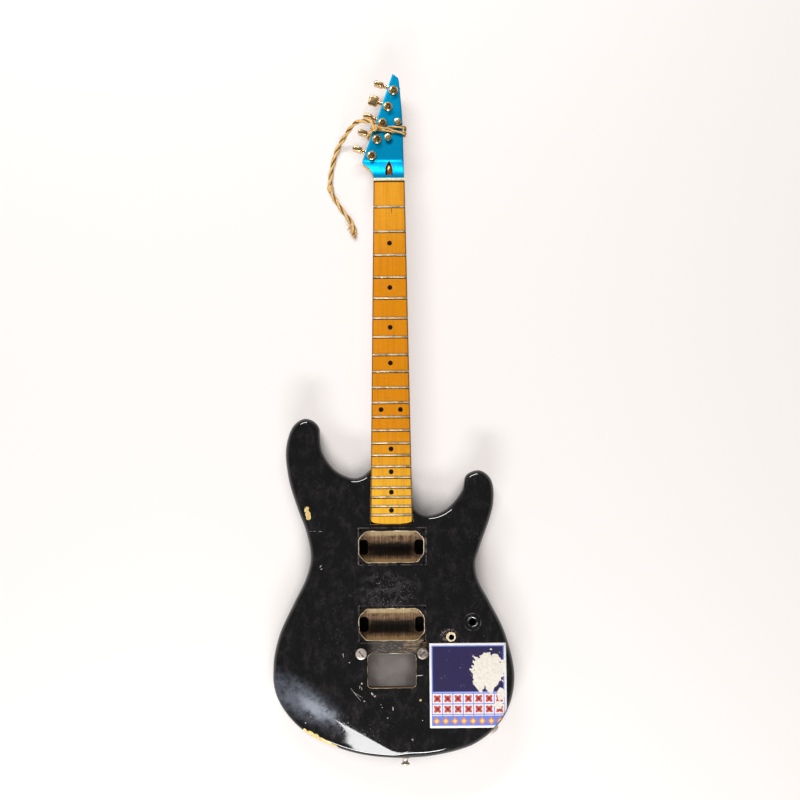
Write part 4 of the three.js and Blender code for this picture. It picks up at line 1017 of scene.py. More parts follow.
def body_piece():
    """The body: an outline slab with round rims and a forearm slope, then every rout, hole and chip."""
    away = np.hypot(body_line[:, 0], body_line[:, 1] - PLATE_Y)
    back_round = HEEL_EDGE_RADIUS + (EDGE_RADIUS - HEEL_EDGE_RADIUS) * smooth((away - 42) / 36)
    shape = slab(body_line, 0.0, top_of_body, back_round, rim_radius(body_line), 9, 5.0)
    piece = loose("body_shell", shape, [LACQUER])
    top = BODY_THICKNESS
    rear, front = HEEL_END - SEAT_GAP, HEEL_END + HEEL_LENGTH + 2 * EDGE_RADIUS
    wide, narrow = half_width(HEEL_END) + SEAT_GAP, half_width(front) + SEAT_GAP
    pocket = evenly([(-wide, rear), (wide, rear), (narrow, front), (-narrow, front)], 2.5, True)
    tremolo = rounded(ROUT_X, BRIDGE_Y - 22.5, 64, 45, 5)
    springs = rounded(ROUT_X, BRIDGE_Y - 45 + 62, 56, 124, 8)
    x, y, length, width, radius = CONTROLS
    first = [
        ragged(pocket, 0.2, 0.1, POCKET_FLOOR, top),
        *[ragged(octagon(rout_y), 0.7, 0.3, top - PICKUP_DEPTH, top, 0.45) for rout_y in PICKUPS],
        ragged(tremolo, 0.2, 0.25, -PAST_FACE, top),
        plug(rounded(x, y, length, width, radius), [(-PAST_FACE, 0), (top - CONTROL_ROOF, 0)]),
        plug(rounded(0, PLATE_Y, 44.6, 52.6, 6.3), [(-PAST_FACE, 0), (PLATE_INSET, 0)]),
    ]
    # Tag 3, the near-black wood, paints shade into the pickup legs, the volume hole's bore and the screw
    # holes
    leg = [(top - LEG_DEPTH, 0), (top - PICKUP_DEPTH + PAST_FACE, 0.2)]
    legs = [(ROUT_X + side * 37.25, rout_y) for rout_y in PICKUPS for side in (-1, 1)]
    second = [plug(rounded(*place, 11.7, 20, 4.5, 1.2), leg, [3]) for place in legs]
    ledge = rounded(x, y, length + 2 * COVER_LEDGE, width + 2 * COVER_LEDGE, radius + COVER_LEDGE)
    foot = top - SHAFT_HOLE_DEPTH
    second += [
        plug(springs, [(-PAST_FACE, 0), (SPRING_DEPTH, 0)]),
        plug(ledge, [(-PAST_FACE, 0), (COVER_INSET, 0)]),
        plug(disc_line(*VOLUME_HOLE), [(foot, 0), (top - 1.3, 0), (top - 0.5, 1.0), (top + 0.6, 3.6)],
             [3, 2, 2]),
        plug(disc_line(*TONE_HOLE), [(foot, 0), (top + PAST_FACE, 0)]),
        turned([(9.1, -1), (9.1, 6)], JACK_SEAT, JACK_OUT),
    ]
    ring = disc_line(TONE_HOLE[0] - 0.7, TONE_HOLE[1] + 0.6, 6.5, 30) + rng.normal(0, 0.16, (30, 2))
    third = [flake(*chip) for chip in CHIPS] + [flake(*chip, RIM_CHIP_DEPTH) for chip in RIM_CHIPS]
    hole = [(top - SCREW_HOLE_DEPTH, 0), (top - 0.4, 0), (top + 0.4, 0.8)]
    second += [plug(disc_line(x, rout_y + y, 1.2, 14), hole, [3, 3])
               for rout_y in PICKUPS for x, y in RING_SCREWS]
    for shapes in (first, second):
        carve(piece, [loose("tool", joined(*shapes), [RAW_WOOD, EDGE_WOOD, LACQUER, SHADE_DARK_WOOD])])
    carve(piece, [loose("tool", plug(ring, [(top - 0.4, -0.3), (top + 1, 0.4)]), [EDGE_WOOD])])
    for shape in third:
        carve(piece, [loose("tool", shape, [BARE_WOOD])])
    for scuff in SCUFFS:
        carve(piece, [loose("tool", flake(*scuff, SCUFF_DEPTH, 12), [SCUFF])])
    return settle(piece, ["body"], crease=32)


def rim_hit(start, aim):
    """Where a straight line in plan last leaves the outline, at half the body's height, and the way out."""
    side = np.roll(body_line, -1, 0) - body_line
    gap = body_line - np.array(start)
    cross = aim[0] * side[:, 1] - aim[1] * side[:, 0]
    along = (gap[:, 0] * side[:, 1] - gap[:, 1] * side[:, 0]) / cross
    share = (gap[:, 0] * aim[1] - gap[:, 1] * aim[0]) / cross
    hits = np.flatnonzero((along > 0) & (share >= 0) & (share < 1))
    last = hits[np.argmax(along[hits])]
    out = np.array([side[last, 1], -side[last, 0], 0])
    place = np.array(start) + along[last] * np.array(aim)
    return np.array([*place, BODY_THICKNESS / 2]), out / np.linalg.norm(out)


JACK_SEAT, JACK_OUT = rim_hit(CONTROLS[:2], (42, -98))
STRAP_SEAT, STRAP_OUT = rim_hit((16, HEEL_END), (1e-6, -1))


# Neck
BACK_FULLNESS = 0.8
EDGE_ROLL = 1.1
NUT_BACK = 3.55
NUT_DEPTH = 3.0
RAMP_START = 5.0
RAMP_CURVE = 1.6
POST_HOLE = 4.9
TRUSS_DROP = 11.5
MARKER_FRETS = (3, 5, 7, 9, 15, 17, 19, 21)


def half_width(y):
    """Half the board's width, growing evenly from the nut to the heel."""
    return (NUT_WIDTH + (HEEL_WIDTH - NUT_WIDTH) * y / HEEL_END) / 2


def crown(x):
    """Drop of the board's face away from its middle."""
    return -(x**2) / (2 * BOARD_RADIUS)


def neck_ring(y):
    """Section of the neck: a crowned face, rolled edges, short sides and a full round back. Its width grows
    from nothing along a bowed end, a curve whose cubes add up to one."""
    short = 1 - min((y - HEEL_END) / END_BOW, 1)
    half = half_width(y) * max((1 - short**3) ** (1 / 3), 0.05)
    plain_depth = NECK_AT_NUT + (NECK_AT_HEEL - NECK_AT_NUT) * y / HEEL_END
    blend = 1 - smooth(-y / VOLUTE_LENGTH)
    depth = plain_depth + (HEAD_DROP + HEAD_THICKNESS - plain_depth) * blend
    across = np.linspace(-1, 1, 17) * (half - EDGE_ROLL)
    face = np.column_stack([across, crown(across)])
    turn = np.linspace(np.pi / 2, 0, 5)[1:]
    right = np.column_stack([half - EDGE_ROLL + EDGE_ROLL * np.cos(turn),
                             crown(half) - EDGE_ROLL + EDGE_ROLL * np.sin(turn)])
    sweep = np.linspace(0, np.pi, 33)
    back = np.column_stack([half * np.cos(sweep),
                            -BOARD_SIDE - (depth - BOARD_SIDE) * np.sin(sweep).clip(0) ** BACK_FULLNESS])
    flat = np.vstack([face, right, back, right[::-1] * np.array([-1, 1])])
    return np.column_stack([flat[:, 0], np.full(len(flat), y), flat[:, 1] + BOARD_TOP])


def shaft_shape():
    """The neck's shaft, lofted through sections from the heel's rounded end to the nut."""
    corner = HEEL_END + END_BOW * (1 - np.cos(np.linspace(0, np.pi / 2, 14))) ** 1.6
    middle = np.linspace(corner[-1], -VOLUTE_LENGTH, 30)[1:]
    volute = np.linspace(-VOLUTE_LENGTH, 0, 15)[1:]
    return skin([neck_ring(y) for y in np.concatenate([corner, middle, volute])])


def heel_shape():
    """The block under the heel, with the board's bowed end and a front that leans back."""
    front = HEEL_END + HEEL_LENGTH
    bowed = HEEL_END + END_BOW * np.linspace(0, 1, 14) ** 3
    straight = np.linspace(HEEL_END + END_BOW, front, 20)
    y = np.concatenate([bowed, straight[1:]])
    share = (1 - np.clip(1 - (y - HEEL_END) / END_BOW, 0, 1) ** 3).clip(0.05) ** (1 / 3)
    rim = np.column_stack([half_width(y) * share, y])
    line = np.vstack([rim, rim[::-1] * np.array([-1, 1])])
    rings = []
    for drop, lean in ((BLANK_THICKNESS, 9.0), (BLANK_THICKNESS - 0.7, 7.4), (18.0, 2.0), (BOARD_SIDE, 0.0)):
        y = np.minimum(line[:, 1], front - lean)
        rings.append(np.column_stack([line[:, 0], y, np.full(len(line), BOARD_TOP - drop)]))
    return skin(rings)


def head_point(pitches, out):
    """A place on the headstock: so many tuner pitches along the posts, then out on the buttons' side."""
    return LAST_POST + pitches * TUNER_PITCH * TUNER_WAY + out * TUNER_OUT


def head_line():
    """Headstock plan, with the tip drawn past the break, which a tool then takes off."""
    half = NUT_WIDTH / 2 - 0.03
    shoulder, neck = head_point(1.89, -30.5), head_point(4.6, -3.6)
    low, high = head_point(-0.33, 9.8), np.array([-27.6, 18.6])
    parts = [
        [(half, -1), (half - 0.67, 5), shoulder],
        quadratic(shoulder, head_point(3.19, -18.8), neck),
        [head_point(4.8, -0.7), head_point(5.3, 0.2), head_point(5.3, 8.3), head_point(4.6, 8.4), low],
        quadratic(low, (-38.4, 27.4), (-33, 23.2), 8),
        [high],
        quadratic(high, (-23.4, 13.5), (-half, 6), 8),
        [(-half, -1)],
    ]
    return evenly(np.vstack([np.asarray(part, float) for part in parts]), 1.3, True)


def face_height(flat):
    """Height of the headstock's face: a ramp from the nut that falls ever faster, then level."""
    start = NUT_BACK + RAMP_START
    share = np.clip((flat[:, 1] - start) / (RAMP_END - start), 0, 1) ** RAMP_CURVE
    return BOARD_TOP - NUT_DEPTH - (HEAD_DROP - NUT_DEPTH) * share


def break_tool():
    """What was lost past the split. Its near side is the fracture: a jagged line in plan that wanders from
    layer to layer of the wood."""
    knots = [head_point(4.7, -7), head_point(4.8, -0.7), head_point(4.855, 4.75), head_point(4.94, 8.5),
             head_point(5.0, 13)]
    near = evenly(np.array(knots), 0.7)
    far = np.array([head_point(5.8, 13), head_point(5.8, -7)])
    splinter = rng.normal(0, 0.3, len(near))
    rings = []
    for z in np.linspace(HEAD_BACK - 1, HEAD_FACE + 1, 14):
        shift = splinter + rng.normal(0, 0.3, len(near)) - 0.1 * (HEAD_FACE - z)
        line = np.vstack([near + shift[:, None] * TUNER_WAY, far])
        rings.append(np.column_stack([line, np.full(len(line), z)]))
    return skin(rings)


def truss_slot():
    """The pointed slot for the truss nut, behind the string nut."""
    start, shoulder, end, half = 8.5, 16.0, 30.0, 5.0
    line = np.vstack([[(-half, start), (half, start), (half, shoulder)],
                      quadratic((half, shoulder), (4, 25), (0, end), 8),
                      quadratic((0, end), (-4, 25), (-half, shoulder), 8)])
    return plug(evenly(line, 0.9, True), [(BOARD_TOP - 16.5, 0), (BOARD_TOP + 1, 0)])


def neck_piece():
    """Shaft, heel and headstock joined, then the slot, the tuners' holes and the break. Paint covers the
    headstock's face and ramp."""
    line = head_line()
    soft = smooth((line[:, 1] - 4) / 30) * (1 - smooth((line[:, 1] - 136) / 8))
    head = slab(line, HEAD_BACK, face_height, 0.4 + 1.8 * soft, 0.3 + 1.2 * soft, 6, 2.6)
    piece = loose("neck_wood", shaft_shape(), [MAPLE])
    carve(piece, [loose("tool", heel_shape(), [MAPLE]), loose("tool", head, [MAPLE])], "UNION")
    posts = [head_point(k, 0) for k in range(TUNER_COUNT + 1)]
    holes = [plug(disc_line(*post, POST_HOLE), [(HEAD_BACK - 1, 0), (HEAD_FACE + 1, 0)]) for post in posts]
    carve(piece, [loose("tool", joined(truss_slot(), *holes), [SPLIT_WOOD])])
    carve(piece, [loose("tool", break_tool(), [SPLIT_WOOD])])
    mesh = piece.data
    centre, normal = face_table(mesh)
    index = np.zeros(len(mesh.polygons), np.int32)
    mesh.polygons.foreach_get("material_index", index)
    wood_faces = np.array([mesh.materials[i] == MAPLE for i in range(len(mesh.materials))])[index]
    painted = wood_faces & (centre[:, 1] > NUT_BACK) & (normal[:, 2] > 0.3) & (centre[:, 2] > HEAD_FACE - 3)
    mesh.materials.append(BLUE)
    index[painted] = len(mesh.materials) - 1
    mesh.polygons.foreach_set("material_index", index)
    return settle(piece, ["neck"], crease=38)


def fret_piece(n):
    """A fret: a rounded bead that follows the board's crown, filed down at both ends. A flat dark strip along
    its side towards the body is painted shadow, with packed dirt."""
    y, half = fret_y(n), half_width(fret_y(n))
    turn = np.linspace(0, np.pi, 11)
    bead = np.column_stack([1.15 * np.cos(turn), 1.1 * np.sin(turn).clip(0) ** 0.85])
    # The flat strip towards the body takes the dark material: painted shadow
    profile = np.vstack([bead, [(-2.3, 0.06), (-2.4, -0.2), (1.15, -0.2)]])
    share = np.array([-1, -0.985, -0.96, -0.8, -0.6, -0.4, -0.2, 0, 0.2, 0.4, 0.6, 0.8, 0.96, 0.985, 1])
    size = 1 - 0.5 * smooth((abs(share) - 0.955) / 0.045)
    rings = [np.column_stack([np.full(len(profile), half * s), y + profile[:, 0] * k,
                              BOARD_TOP + crown(half * s) + profile[:, 1] * k]) for s, k in zip(share, size)]
    points, faces, _ = skin(rings)
    column = np.append(np.arange(len(faces) - 2), [-1, 0]) % len(profile)
    away = rings[0][column, 1] < y - 0.55
    piece = loose(f"fret_bead_{n:02d}", (points, faces, away.astype(int).tolist()), [FRET_WIRE, DIRT_AND_PAINTED_SHADOW])
    return settle(piece, [f"fret_{n:02d}"], crease=50)


def marker_piece():
    """Black dots let into the board between the frets, two of them at the twelfth."""
    between = lambda n: (fret_y(n) + fret_y(n - 1)) / 2
    places = [(0, between(n)) for n in MARKER_FRETS] + [(-13, between(12)), (13, between(12))]
    shapes = []
    for x, y in places:
        points, faces, tags = turned([(3.3, -0.8), (3.3, 0.03), (3.05, 0.08), (0, 0.1)], (x, y, BOARD_TOP))
        points[:, 2] += crown(points[:, 0])
        shapes.append((points, faces, tags))
    return settle(loose("fret_markers", joined(*shapes), [DOT_BLACK]))


def nut_piece():
    """The nut: a bar with a rounded top, lower at its ends, with six string slots filed across it."""
    half = NUT_WIDTH / 2
    x = np.linspace(-half, half, 171)
    slots = (np.arange(6) - 2.5) * 7
    notch = np.clip(1 - abs(x[:, None] - slots).min(1) / 0.55, 0, 1)
    height = 2 - 0.8 * smooth((abs(x) - half + 4) / 4) - 1.0 * notch
    y = np.array([GLUE_GAP, GLUE_GAP, 0.35, 0.9, 2.6, 3.2, 3.5, 3.5])
    drop = np.array([0, 0.7, 0.18, 0, 0.1, 0.4, 1.0, 0])
    rings = np.zeros((len(x), len(y), 3))
    rings[:, :, 0] = x[:, None]
    rings[:, :, 1] = y
    rings[:, :, 2] = BOARD_TOP + height[:, None] - drop
    rings[:, [0, -1], 2] = BOARD_TOP + GLUE_GAP - NUT_DEPTH
    return settle(loose("nut_bar", skin(rings), [BONE]), ["nut"])


def truss_piece():
    """The truss rod's end with its bullet-shaped nut, which has a hollow for the key."""
    profile = [(0, -20), (3, -20), (3, 9), (3.8, 9), (4, 9.4), (4, 17), (3.75, 19), (3.2, 21), (2.5, 22.7),
               (2.1, 23), (1.5, 22.9), (1.4, 20), (0, 20)]
    shape = turned(profile, (0, 0, BOARD_TOP - TRUSS_DROP), (0, 1, 0), 32)
    return settle(loose("truss_nut", shape, [BRASS]), ["truss_rod"])


def tree_piece(n, x, y):
    """A string tree: a mushroom cap on a short post."""
    profile = [(0, -9), (1.4, -9), (1.4, 0), (2.6, 0.05), (2.6, 3.3), (4.2, 3.5), (4.9, 3.9), (5, 4.6),
               (4.7, 5.3), (3.8, 5.85), (2.2, 6), (0, 6)]
    shape = turned(profile, (x, y, HEAD_FACE))
    return settle(loose(f"tree_{n}", shape, [GOLD]), [f"string_tree_{n}"])


# Tuners
BUTTON_TURNS = (90, 90, 90, 0, 90)
WORM_OFFSET = 7.2
SHAFT_DROP = 5.5


def tuner_place(k, points):
    """From a tuner's frame to the guitar's: x out along the shaft, y back along the line of posts, z up
    from the headstock's back."""
    flat = head_point(k, 0) + points[:, :1] * TUNER_OUT - points[:, 1:2] * TUNER_WAY
    return np.column_stack([flat, HEAD_BACK + points[:, 2]])


def bushing_piece(k):
    """The bushing: a threaded sleeve with a domed flange on the face."""
    profile = [(3.25, 1), (4.6, 1), (4.6, 14.55), (6.6, 14.55), (6.65, 15.3), (6.5, 16.0), (6.1, 16.6),
               (5.5, 17.1), (4.8, 17.5), (4.1, 17.75), (3.5, 17.85), (3.3, 17.7), (3.25, 17.4)]
    post = head_point(k, 0)
    shape = turned(profile, (*post, HEAD_BACK), segments=48, loop=True)
    return settle(loose(f"bushing_{k + 1}", shape, [GOLD]), [f"tuner_{k + 1}_bushing"])


def post_piece(k):
    """A post with its gear: a waisted top for the string, split across and bored."""
    profile = [(0, -9.3), (2.4, -9.3), (2.4, -8), (4.7, -8), (4.8, -7.8), (4.8, -3.2), (4.7, -3), (3, -3),
               (3, 19.9), (2.75, 20.5), (2.45, 21.1), (2.4, 22), (2.5, 23), (2.8, 23.7), (2.98, 24.3),
               (2.9, 25.0), (2.6, 25.5), (0, 25.6)]
    post = head_point(k, 0)
    # The posts take the darker gold: tarnish and painted shade
    piece = loose(f"post_{k + 1}", turned(profile, (*post, HEAD_BACK), segments=32), [POST_GOLD_TARNISH_AND_SHADE])
    points, faces, tags = box_shape((-5, -0.6, 23.4), (5, 0.6, 27))
    split = loose("tool", (tuner_place(k, points), faces, tags), [DIRT_AND_PAINTED_SHADOW])
    bore = turned([(0.9, -5), (0.9, 5)], (*post, HEAD_BACK + 22), (*TUNER_WAY, 0), 16)
    carve(piece, [split, loose("tool", bore, [POST_GOLD_TARNISH_AND_SHADE])])
    return settle(piece, [f"tuner_{k + 1}_post"], f"tuner_{k + 1}_post")


def paddle(turn):
    """The button's grip in the shaft's frame: an oval plan whose edge is rounded like a pebble's, by a
    power of the sine and cosine of its two angles."""
    around = np.linspace(0, 2 * np.pi, 40, endpoint=False)
    tilt = np.linspace(-np.pi / 2, np.pi / 2, 17)
    power = lambda value, n: np.sign(value) * abs(value) ** n
    reach = np.cos(tilt).clip(0)[:, None] ** 0.3
    x = 23.5 + 7 * reach * power(np.cos(around), 0.38)
    y = 7.5 * reach * power(np.sin(around), 0.38)
    z = np.broadcast_to(3.75 * power(np.sin(tilt), 0.75)[:, None], x.shape)
    cos, sin = math.cos(math.radians(turn)), math.sin(math.radians(turn))
    return skin(np.stack([x, y * cos - z * sin, y * sin + z * cos], axis=2))


def button_piece(k):
    """A tuner's button: grip, collar and shaft, which turn together."""
    shaft = turned([(0, -5.1), (2.1, -5.1), (2.1, 12.3), (2.8, 12.3), (3, 12.6), (3, 14.2), (2.7, 15.6),
                    (2.6, 18), (0, 18)], (0, 0, 0), (1, 0, 0), 28)
    points, faces, tags = joined(shaft, paddle(BUTTON_TURNS[k]))
    points = tuner_place(k, points + np.array([0, -WORM_OFFSET, -SHAFT_DROP]))
    piece = loose(f"button_{k + 1}", (points, faces, tags), [BUTTON_GOLD])
    return settle(piece, [f"tuner_{k + 1}_button"], f"tuner_{k + 1}_button", 50)


def softened(node, name, width, material):
    """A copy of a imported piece: its triangles merged into flat faces and its edges rounded."""
    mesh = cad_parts[node].data.copy()
    work = bmesh.new()
    work.from_mesh(mesh)
    bmesh.ops.remove_doubles(work, verts=work.verts, dist=1e-6)
    bmesh.ops.dissolve_limit(work, angle_limit=math.radians(1), verts=work.verts, edges=work.edges)
    work.to_mesh(mesh)
    work.free()
    mesh.materials.clear()
    mesh.materials.append(material)
    piece = bpy.data.objects.new(name, mesh)
    bpy.context.scene.collection.objects.link(piece)
    bevel = piece.modifiers.new("round", "BEVEL")
    bevel.width = width * MM
    bevel.segments = 3
    bevel.limit_method = "ANGLE"
    bevel.angle_limit = math.radians(40)
    bevel.use_clamp_overlap = True
    bake(piece)
    return settle(piece, [node], crease=40)


# Hardware on the body
def stud_piece(name, x, turn, dish, material):
    """A bridge stud: a headed screw with a waist for the bridge's edge and a slot full of dirt across its
    head, which may be dished."""
    profile = [(0, -24), (4, -24), (4, 0), (4.8, 0.1), (4.8, 2.8), (7.0, 2.8), (7.4, 3.1), (7.5, 3.5),
               (7.5, 5.0), (7.3, 5.6), (6.8, 6.0), (5, 6.25), (3.4, 6.35 - dish), (0, 6.4 - dish)]
    place = np.array([x, BRIDGE_Y, BODY_THICKNESS])
    piece = loose(f"stud_{name}", turned(profile, place, segments=48), [material])
    cos, sin = math.cos(turn), math.sin(turn)
    points, faces, tags = box_shape((-4.6, -0.6, 4.4), (4.6, 0.6, 8))
    points = points @ np.array([[cos, sin, 0], [-sin, cos, 0], [0, 0, 1]]) + place
    carve(piece, [loose("tool", (points, faces, tags), [DIRT_AND_PAINTED_SHADOW])])
    return settle(piece, [f"bridge_stud_{name}"])


def strap_piece():
    """The strap button: a spool with a dished end, screwed to the rim."""
    profile = [(0, -22), (2.2, -22), (2.2, 0), (5.8, 0.1), (6, 0.4), (6, 1.3), (5.5, 1.9), (4.2, 2.9),
               (3.6, 4.2), (3.6, 6.6), (4.3, 7.7), (5.4, 8.5), (5.8, 9), (5.75, 9.6), (5.3, 10.3),
               (4.6, 10.5), (3.4, 10.2), (3.1, 9.6), (2.6, 9.7), (0, 10.1)]
    shape = turned(profile, STRAP_SEAT, STRAP_OUT, 40)
    return settle(loose("strap_spool", shape, [STEEL]), ["strap_button"])


def jack_piece():
    """The output jack: washer, six-sided nut and the threaded end of the socket."""
    washer = [(4.9, -0.7), (8.8, -0.7), (8.8, 0.5), (8.5, 0.9), (4.9, 0.9)]
    nut = [(4.9, 0.95), (7.0, 0.95), (7.3, 1.3), (7.3, 3.1), (7.0, 3.5), (4.9, 3.5)]
    barrel = [(3.3, -27), (4.8, -27), (4.8, 4.2), (4.5, 4.5), (3.6, 4.5), (3.3, 4.2)]
    rings = [turned(profile, JACK_SEAT, JACK_OUT, sides, True)
             for profile, sides in ((washer, 48), (nut, 6), (barrel, 40))]
    return settle(loose("jack_socket", joined(*rings), [STEEL]), ["output_jack"])


def screw_piece(n):
    """A countersunk neck screw with a cross in its head, seen from the back."""
    low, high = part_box(f"neck_screw_{n}")
    place = (np.array((low + high) / 2) - SHIFT) / MM
    place[2] = 0
    profile = [(0, 0.3), (3.9, 0.3), (4.2, 0.5), (2.3, 2.2), (2.3, 39), (0, 42)]
    piece = loose(f"neck_bolt_{n}", turned(profile, place, segments=32), [STEEL])
    arms = [box_shape((-2.4, -0.45, -1), (2.4, 0.45, 1.5)), box_shape((-0.45, -2.4, -1), (0.45, 2.4, 1.5))]
    carve(piece, [loose("tool", (points + place, faces, tags), [STEEL]) for points, faces, tags in arms])
    return settle(piece, [f"neck_screw_{n}"])


# Sticker
STICKER_LEFT, STICKER_RIGHT = 48.8, 150.6
STICKER_TOP, STICKER_BOTTOM = HEEL_END - 158.6, HEEL_END - 269.6
STICKER_LIFT = 0.3
PRINT_DEPTH = 0.14
PAPER_THICKNESS = 0.25
# Torn places: middle and half sizes, across and down from the upper left corner
TEARS = (((78.5, 35), (23, 22)), ((66, 50), (8, 13)), ((80, 56), (6, 9)), ((94, 67), (5.5, 8)),
         ((91, 82), (6, 5)))


def wavy(x, y, size, count=9):
    """Smooth seeded noise in plan: a sum of waves of about one size in random directions."""
    total = np.zeros_like(x)
    for angle, phase, scale in zip(rng.uniform(0, np.pi, count), rng.uniform(0, 6.28, count),
                                   rng.uniform(0.6, 1.6, count)):
        total += np.sin((x * math.cos(angle) + y * math.sin(angle)) * 2 * np.pi / (size * scale) + phase)
    return total / math.sqrt(count)


def printed_paper():
    """Gloss-printed paper sticker: a navy panel over two rows of cells with red four-leaf motifs and a blue
    strip of orange lozenges, scuffed white, with the print torn off to the paper's fibre in one part."""
    material, tree, shader, place = begin("printed_paper")
    at = lambda across, down: spot(STICKER_LEFT + across, STICKER_TOP - down)
    middle = (STICKER_RIGHT - STICKER_LEFT) / 2
    half_cell, half_strip = 6.85 * MM, 6.0 * MM
    from_cell = add(tree, "VectorMath", {0: place, 1: at(10, 72.8)}, operation="SUBTRACT")
    cell_ends = {1: (half_cell, half_cell, 1), 2: (-half_cell, -half_cell, -1)}
    cell = add(tree, "VectorMath", {0: from_cell, **cell_ends}, operation="WRAP")
    from_strip = add(tree, "VectorMath", {0: place, 1: at(9, 102)}, operation="SUBTRACT")
    link_ends = {1: (half_strip, 1, 1), 2: (-half_strip, -1, -1)}
    link = add(tree, "VectorMath", {0: from_strip, **link_ends}, operation="WRAP")
    quarter = math.pi / 4
    colour = linear("#7f92e4")
    for where, centre, size, square, turn, tint in (
        (cell, (0, 0, 0), (6.2, 6.2), True, 0, "#f5eae9"),
        (cell, (0, 0, 0), (5.9, 2.5), False, quarter, "#c9564c"),
        (cell, (0, 0, 0), (5.9, 2.5), False, -quarter, "#c9564c"),
        (cell, (0, 0, 0), (1.9, 1.9), False, 0, "#7d2a33"),
        (place, at(middle, 34), (48.2, 31), True, 0, "#7f92e4"),
        (place, at(middle, 34), (46.8, 29.6), True, 0, "#2f2950"),
        (place, at(middle, 102), (48.2, 6.7), True, 0, "#7387dc"),
        (link, (0, 0, 0), (3.6, 3.6), True, quarter, "#e98f52"),
        (link, (0, 0, 0), (1.9, 1.9), True, quarter, "#ffd98a"),
    ):
        colour = over(tree, colour, zone(tree, where, centre, size, square, turn), 1.02, 0.98, tint)
    border = zone(tree, place, at(middle, 55.5), (middle, 55.5), True)
    colour = over(tree, colour, border, 0.944, 0.95, "#f6f2f0")
    colour = over(tree, colour, grain(tree, place, (7, 7, 7), 7, 0.75), 0.62, 0.7, "#f3ecec", 0.5)
    torn = add(tree, "Attribute", out="Fac", attribute_name="torn")
    fibre = grain(tree, place, (3.5, 3.5, 3.5), 6, 0.7)
    pulp = over(tree, linear("#f1eadf"), fibre, 0.35, 0.75, "#ded4c3")
    ragged_edge = calc(tree, "MULTIPLY_ADD", fibre, 0.5, torn)
    colour = over(tree, colour, ragged_edge, 0.22, 0.28, pulp)
    lost = span(tree, ragged_edge, 0.22, 0.28)
    rough = span(tree, lost, 0, 1, 0.32, 0.85)
    dress(tree, shader, colour, rough, lost, -0.12)
    return material


def sticker_piece():
    """The sticker, draped over the top and its round-over and cut off at the rim, with the print torn away
    where a field of ovals and waves is above zero."""
    x, y = np.meshgrid(np.arange(STICKER_LEFT, STICKER_RIGHT + 0.5, 1.0),
                       np.arange(STICKER_BOTTOM, STICKER_TOP + 0.5, 1.0))
    rows, columns = x.shape
    flat = np.column_stack([x.ravel(), y.ravel()])
    across, down = flat[:, 0] - STICKER_LEFT, STICKER_TOP - flat[:, 1]
    torn = np.full(len(flat), -2.0)
    for (cx, cy), (rx, ry) in TEARS:
        torn = np.maximum(torn, 1 - np.hypot((across - cx) / rx, (down - cy) / ry))
    torn = torn + 0.13 * wavy(across, down, 9) + 0.06 * wavy(across, down, 4)
    lift = 0.5 * smooth((4 - across) / 4) * smooth((6 - abs(down - 109)) / 6)
    height = skin_of_body(flat) + STICKER_LIFT - PRINT_DEPTH * (torn > 0) + lift
    height += 0.06 * wavy(across, down, 30)
    index = np.arange(rows * columns).reshape(rows, columns)
    quads = np.stack([index[:-1, :-1], index[:-1, 1:], index[1:, 1:], index[1:, :-1]], axis=2).reshape(-1, 4)
    kept = inside(flat, body_line) & (nearest(flat, body_line) > 1.4)
    quads = quads[kept[quads].all(1)]
    used, faces = np.unique(quads, return_inverse=True)
    faces = faces.reshape(-1, 4)
    points = np.column_stack([flat, height])[used]
    piece = loose("torn_sticker", (points, faces.tolist(), [0] * len(faces)), [printed_paper()], closed=False)
    layer = piece.data.attributes.new("torn", "FLOAT", "POINT")
    layer.data.foreach_set("value", torn[used].astype(np.float32))
    thick = piece.modifiers.new("paper", "SOLIDIFY")
    thick.thickness = PAPER_THICKNESS * MM
    thick.offset = -1
    return settle(piece, ["sticker"], crease=60)


body_piece()
neck_piece()
for n in range(1, FRET_COUNT + 1):
    fret_piece(n)
marker_piece()
nut_piece()
truss_piece()
tree_piece(1, 12.2, 84.3)
tree_piece(2, -1.1, 62.4)
for k in range(TUNER_COUNT):
    bushing_piece(k)
    post_piece(k)
    button_piece(k)
    softened(f"tuner_{k + 1}_housing", f"gear_case_{k + 1}", 0.5, GOLD)
stud_piece("left", ROUT_X - 40.75, -0.9, 0.0, STEEL)
stud_piece("right", ROUT_X + 40.75, 0.7, 1.4, GRIMY_STEEL)
strap_piece()
jack_piece()
for n in range(1, 5):
    screw_piece(n)
softened("neck_plate", "bolt_plate", 0.4, NICKEL)
softened("control_cover", "control_lid", 0.5, PLASTIC)
sticker_piece()


# Stage
CARD_PLACE = np.array([-151, -1132, 625])
CARD_AIM = np.array([0.293, 0.497, -0.818])
CARD_SPIN = math.radians(30.6)
FLOOR_HALF = 3000.0
FLOOR_TONE = (0.4, 0.4, 0.4, 1)
GLOW_TINT = (1, 0.92, 0.88, 1)
GLOW, SHADED_GLOW = 0.62, 0.05
SHADE_REACH = 0.05
HORIZON_LIGHT, SKY_LIGHT, SKY_START = 0.62, 0.13, 0.55


def lamp(name, place, aim, size, radiance, spin=0.0):
    """A soft box of a size in metres, which looks along an aim and is spun about it. Its power is pi times
    its area times its radiance."""
    data = bpy.data.lights.new(name, "AREA")
    data.shape = "RECTANGLE"
    data.size, data.size_y = size
    data.energy = math.pi * size[0] * size[1] * radiance
    box = bpy.data.objects.new(name, data)
    box.rotation_mode = "QUATERNION"
    box.location = Vector(spot(*place))
    box.rotation_quaternion = Vector(aim).to_track_quat("-Z", "Y") @ Quaternion((0, 0, 1), spin)
    bpy.context.scene.collection.objects.link(box)
    return box


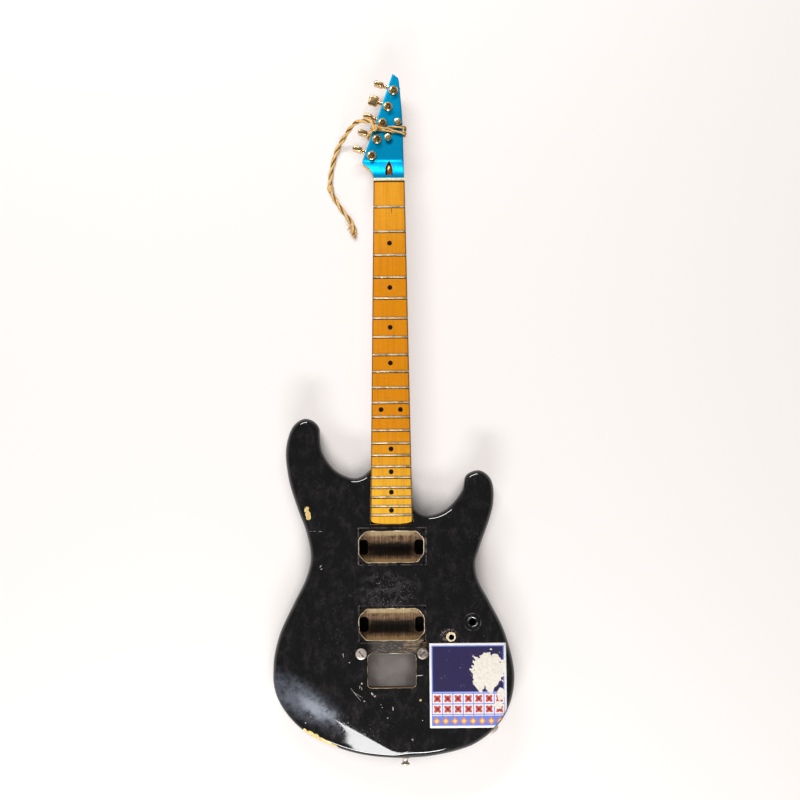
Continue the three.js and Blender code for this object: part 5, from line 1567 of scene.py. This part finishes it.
def white_floor():
    """White paper sweep: matt, and shown at full white wherever nothing shades it."""
    material, tree, shader, _ = begin("white_floor")
    shader.inputs["Base Color"].default_value = FLOOR_TONE
    shader.inputs["Roughness"].default_value = 0.9
    shader.inputs["Specular IOR Level"].default_value = 0.1
    path = add(tree, "LightPath", out="Is Camera Ray").node.outputs
    seen = calc(tree, "MAXIMUM", path["Is Camera Ray"], path["Is Glossy Ray"])
    seen = calc(tree, "MAXIMUM", seen, path["Is Transmission Ray"])
    nearby = add(tree, "AmbientOcclusion", {"Distance": SHADE_REACH}, out="AO", samples=8)
    level = span(tree, nearby, 0.40, 0.62, SHADED_GLOW, GLOW)
    glow = calc(tree, "MULTIPLY", seen, level)
    shader.inputs["Emission Color"].default_value = GLOW_TINT
    tree.links.new(glow, shader.inputs["Emission Strength"])
    return material


def stage():
    """A white floor that keeps the guitar's soft shadows, a soft box past each end of the guitar, a card
    that only polished surfaces mirror, and a surround that is paler towards the horizon."""
    points = FLOOR_HALF * np.array([(-1, -1, 0), (1, -1, 0), (1, 1, 0), (-1, 1, 0)])
    floor = loose("floor", (points, [[0, 1, 2, 3]], [0]), [white_floor()], closed=False)
    lamp("lamp_past_body", (-190, -1758, 926), (0.19, 1.198, -0.882), (0.95, 0.22), 37)
    lamp("lamp_past_headstock", (-424, 1139, 1175), (0.424, -1.049, -1.131), (1.15, 0.26), 26.3)
    card = lamp("mirrored_card", CARD_PLACE, CARD_AIM, (0.26, 0.15), 18, CARD_SPIN)
    card.visible_diffuse = False
    world = bpy.data.worlds.new("surround")
    world.use_nodes = True
    tree = world.node_tree
    height = add(tree, "SeparateXYZ", {0: add(tree, "TexCoord", out="Generated")}, "Z")
    level = span(tree, height, 0, SKY_START, HORIZON_LIGHT, SKY_LIGHT, eased=True)
    tree.links.new(level, tree.nodes["Background"].inputs["Strength"])
    tree.nodes["Background"].inputs["Color"].default_value = (1, 1, 1, 1)
    bpy.context.scene.world = world
    bpy.context.scene.view_settings.view_transform = "Standard"


stage()
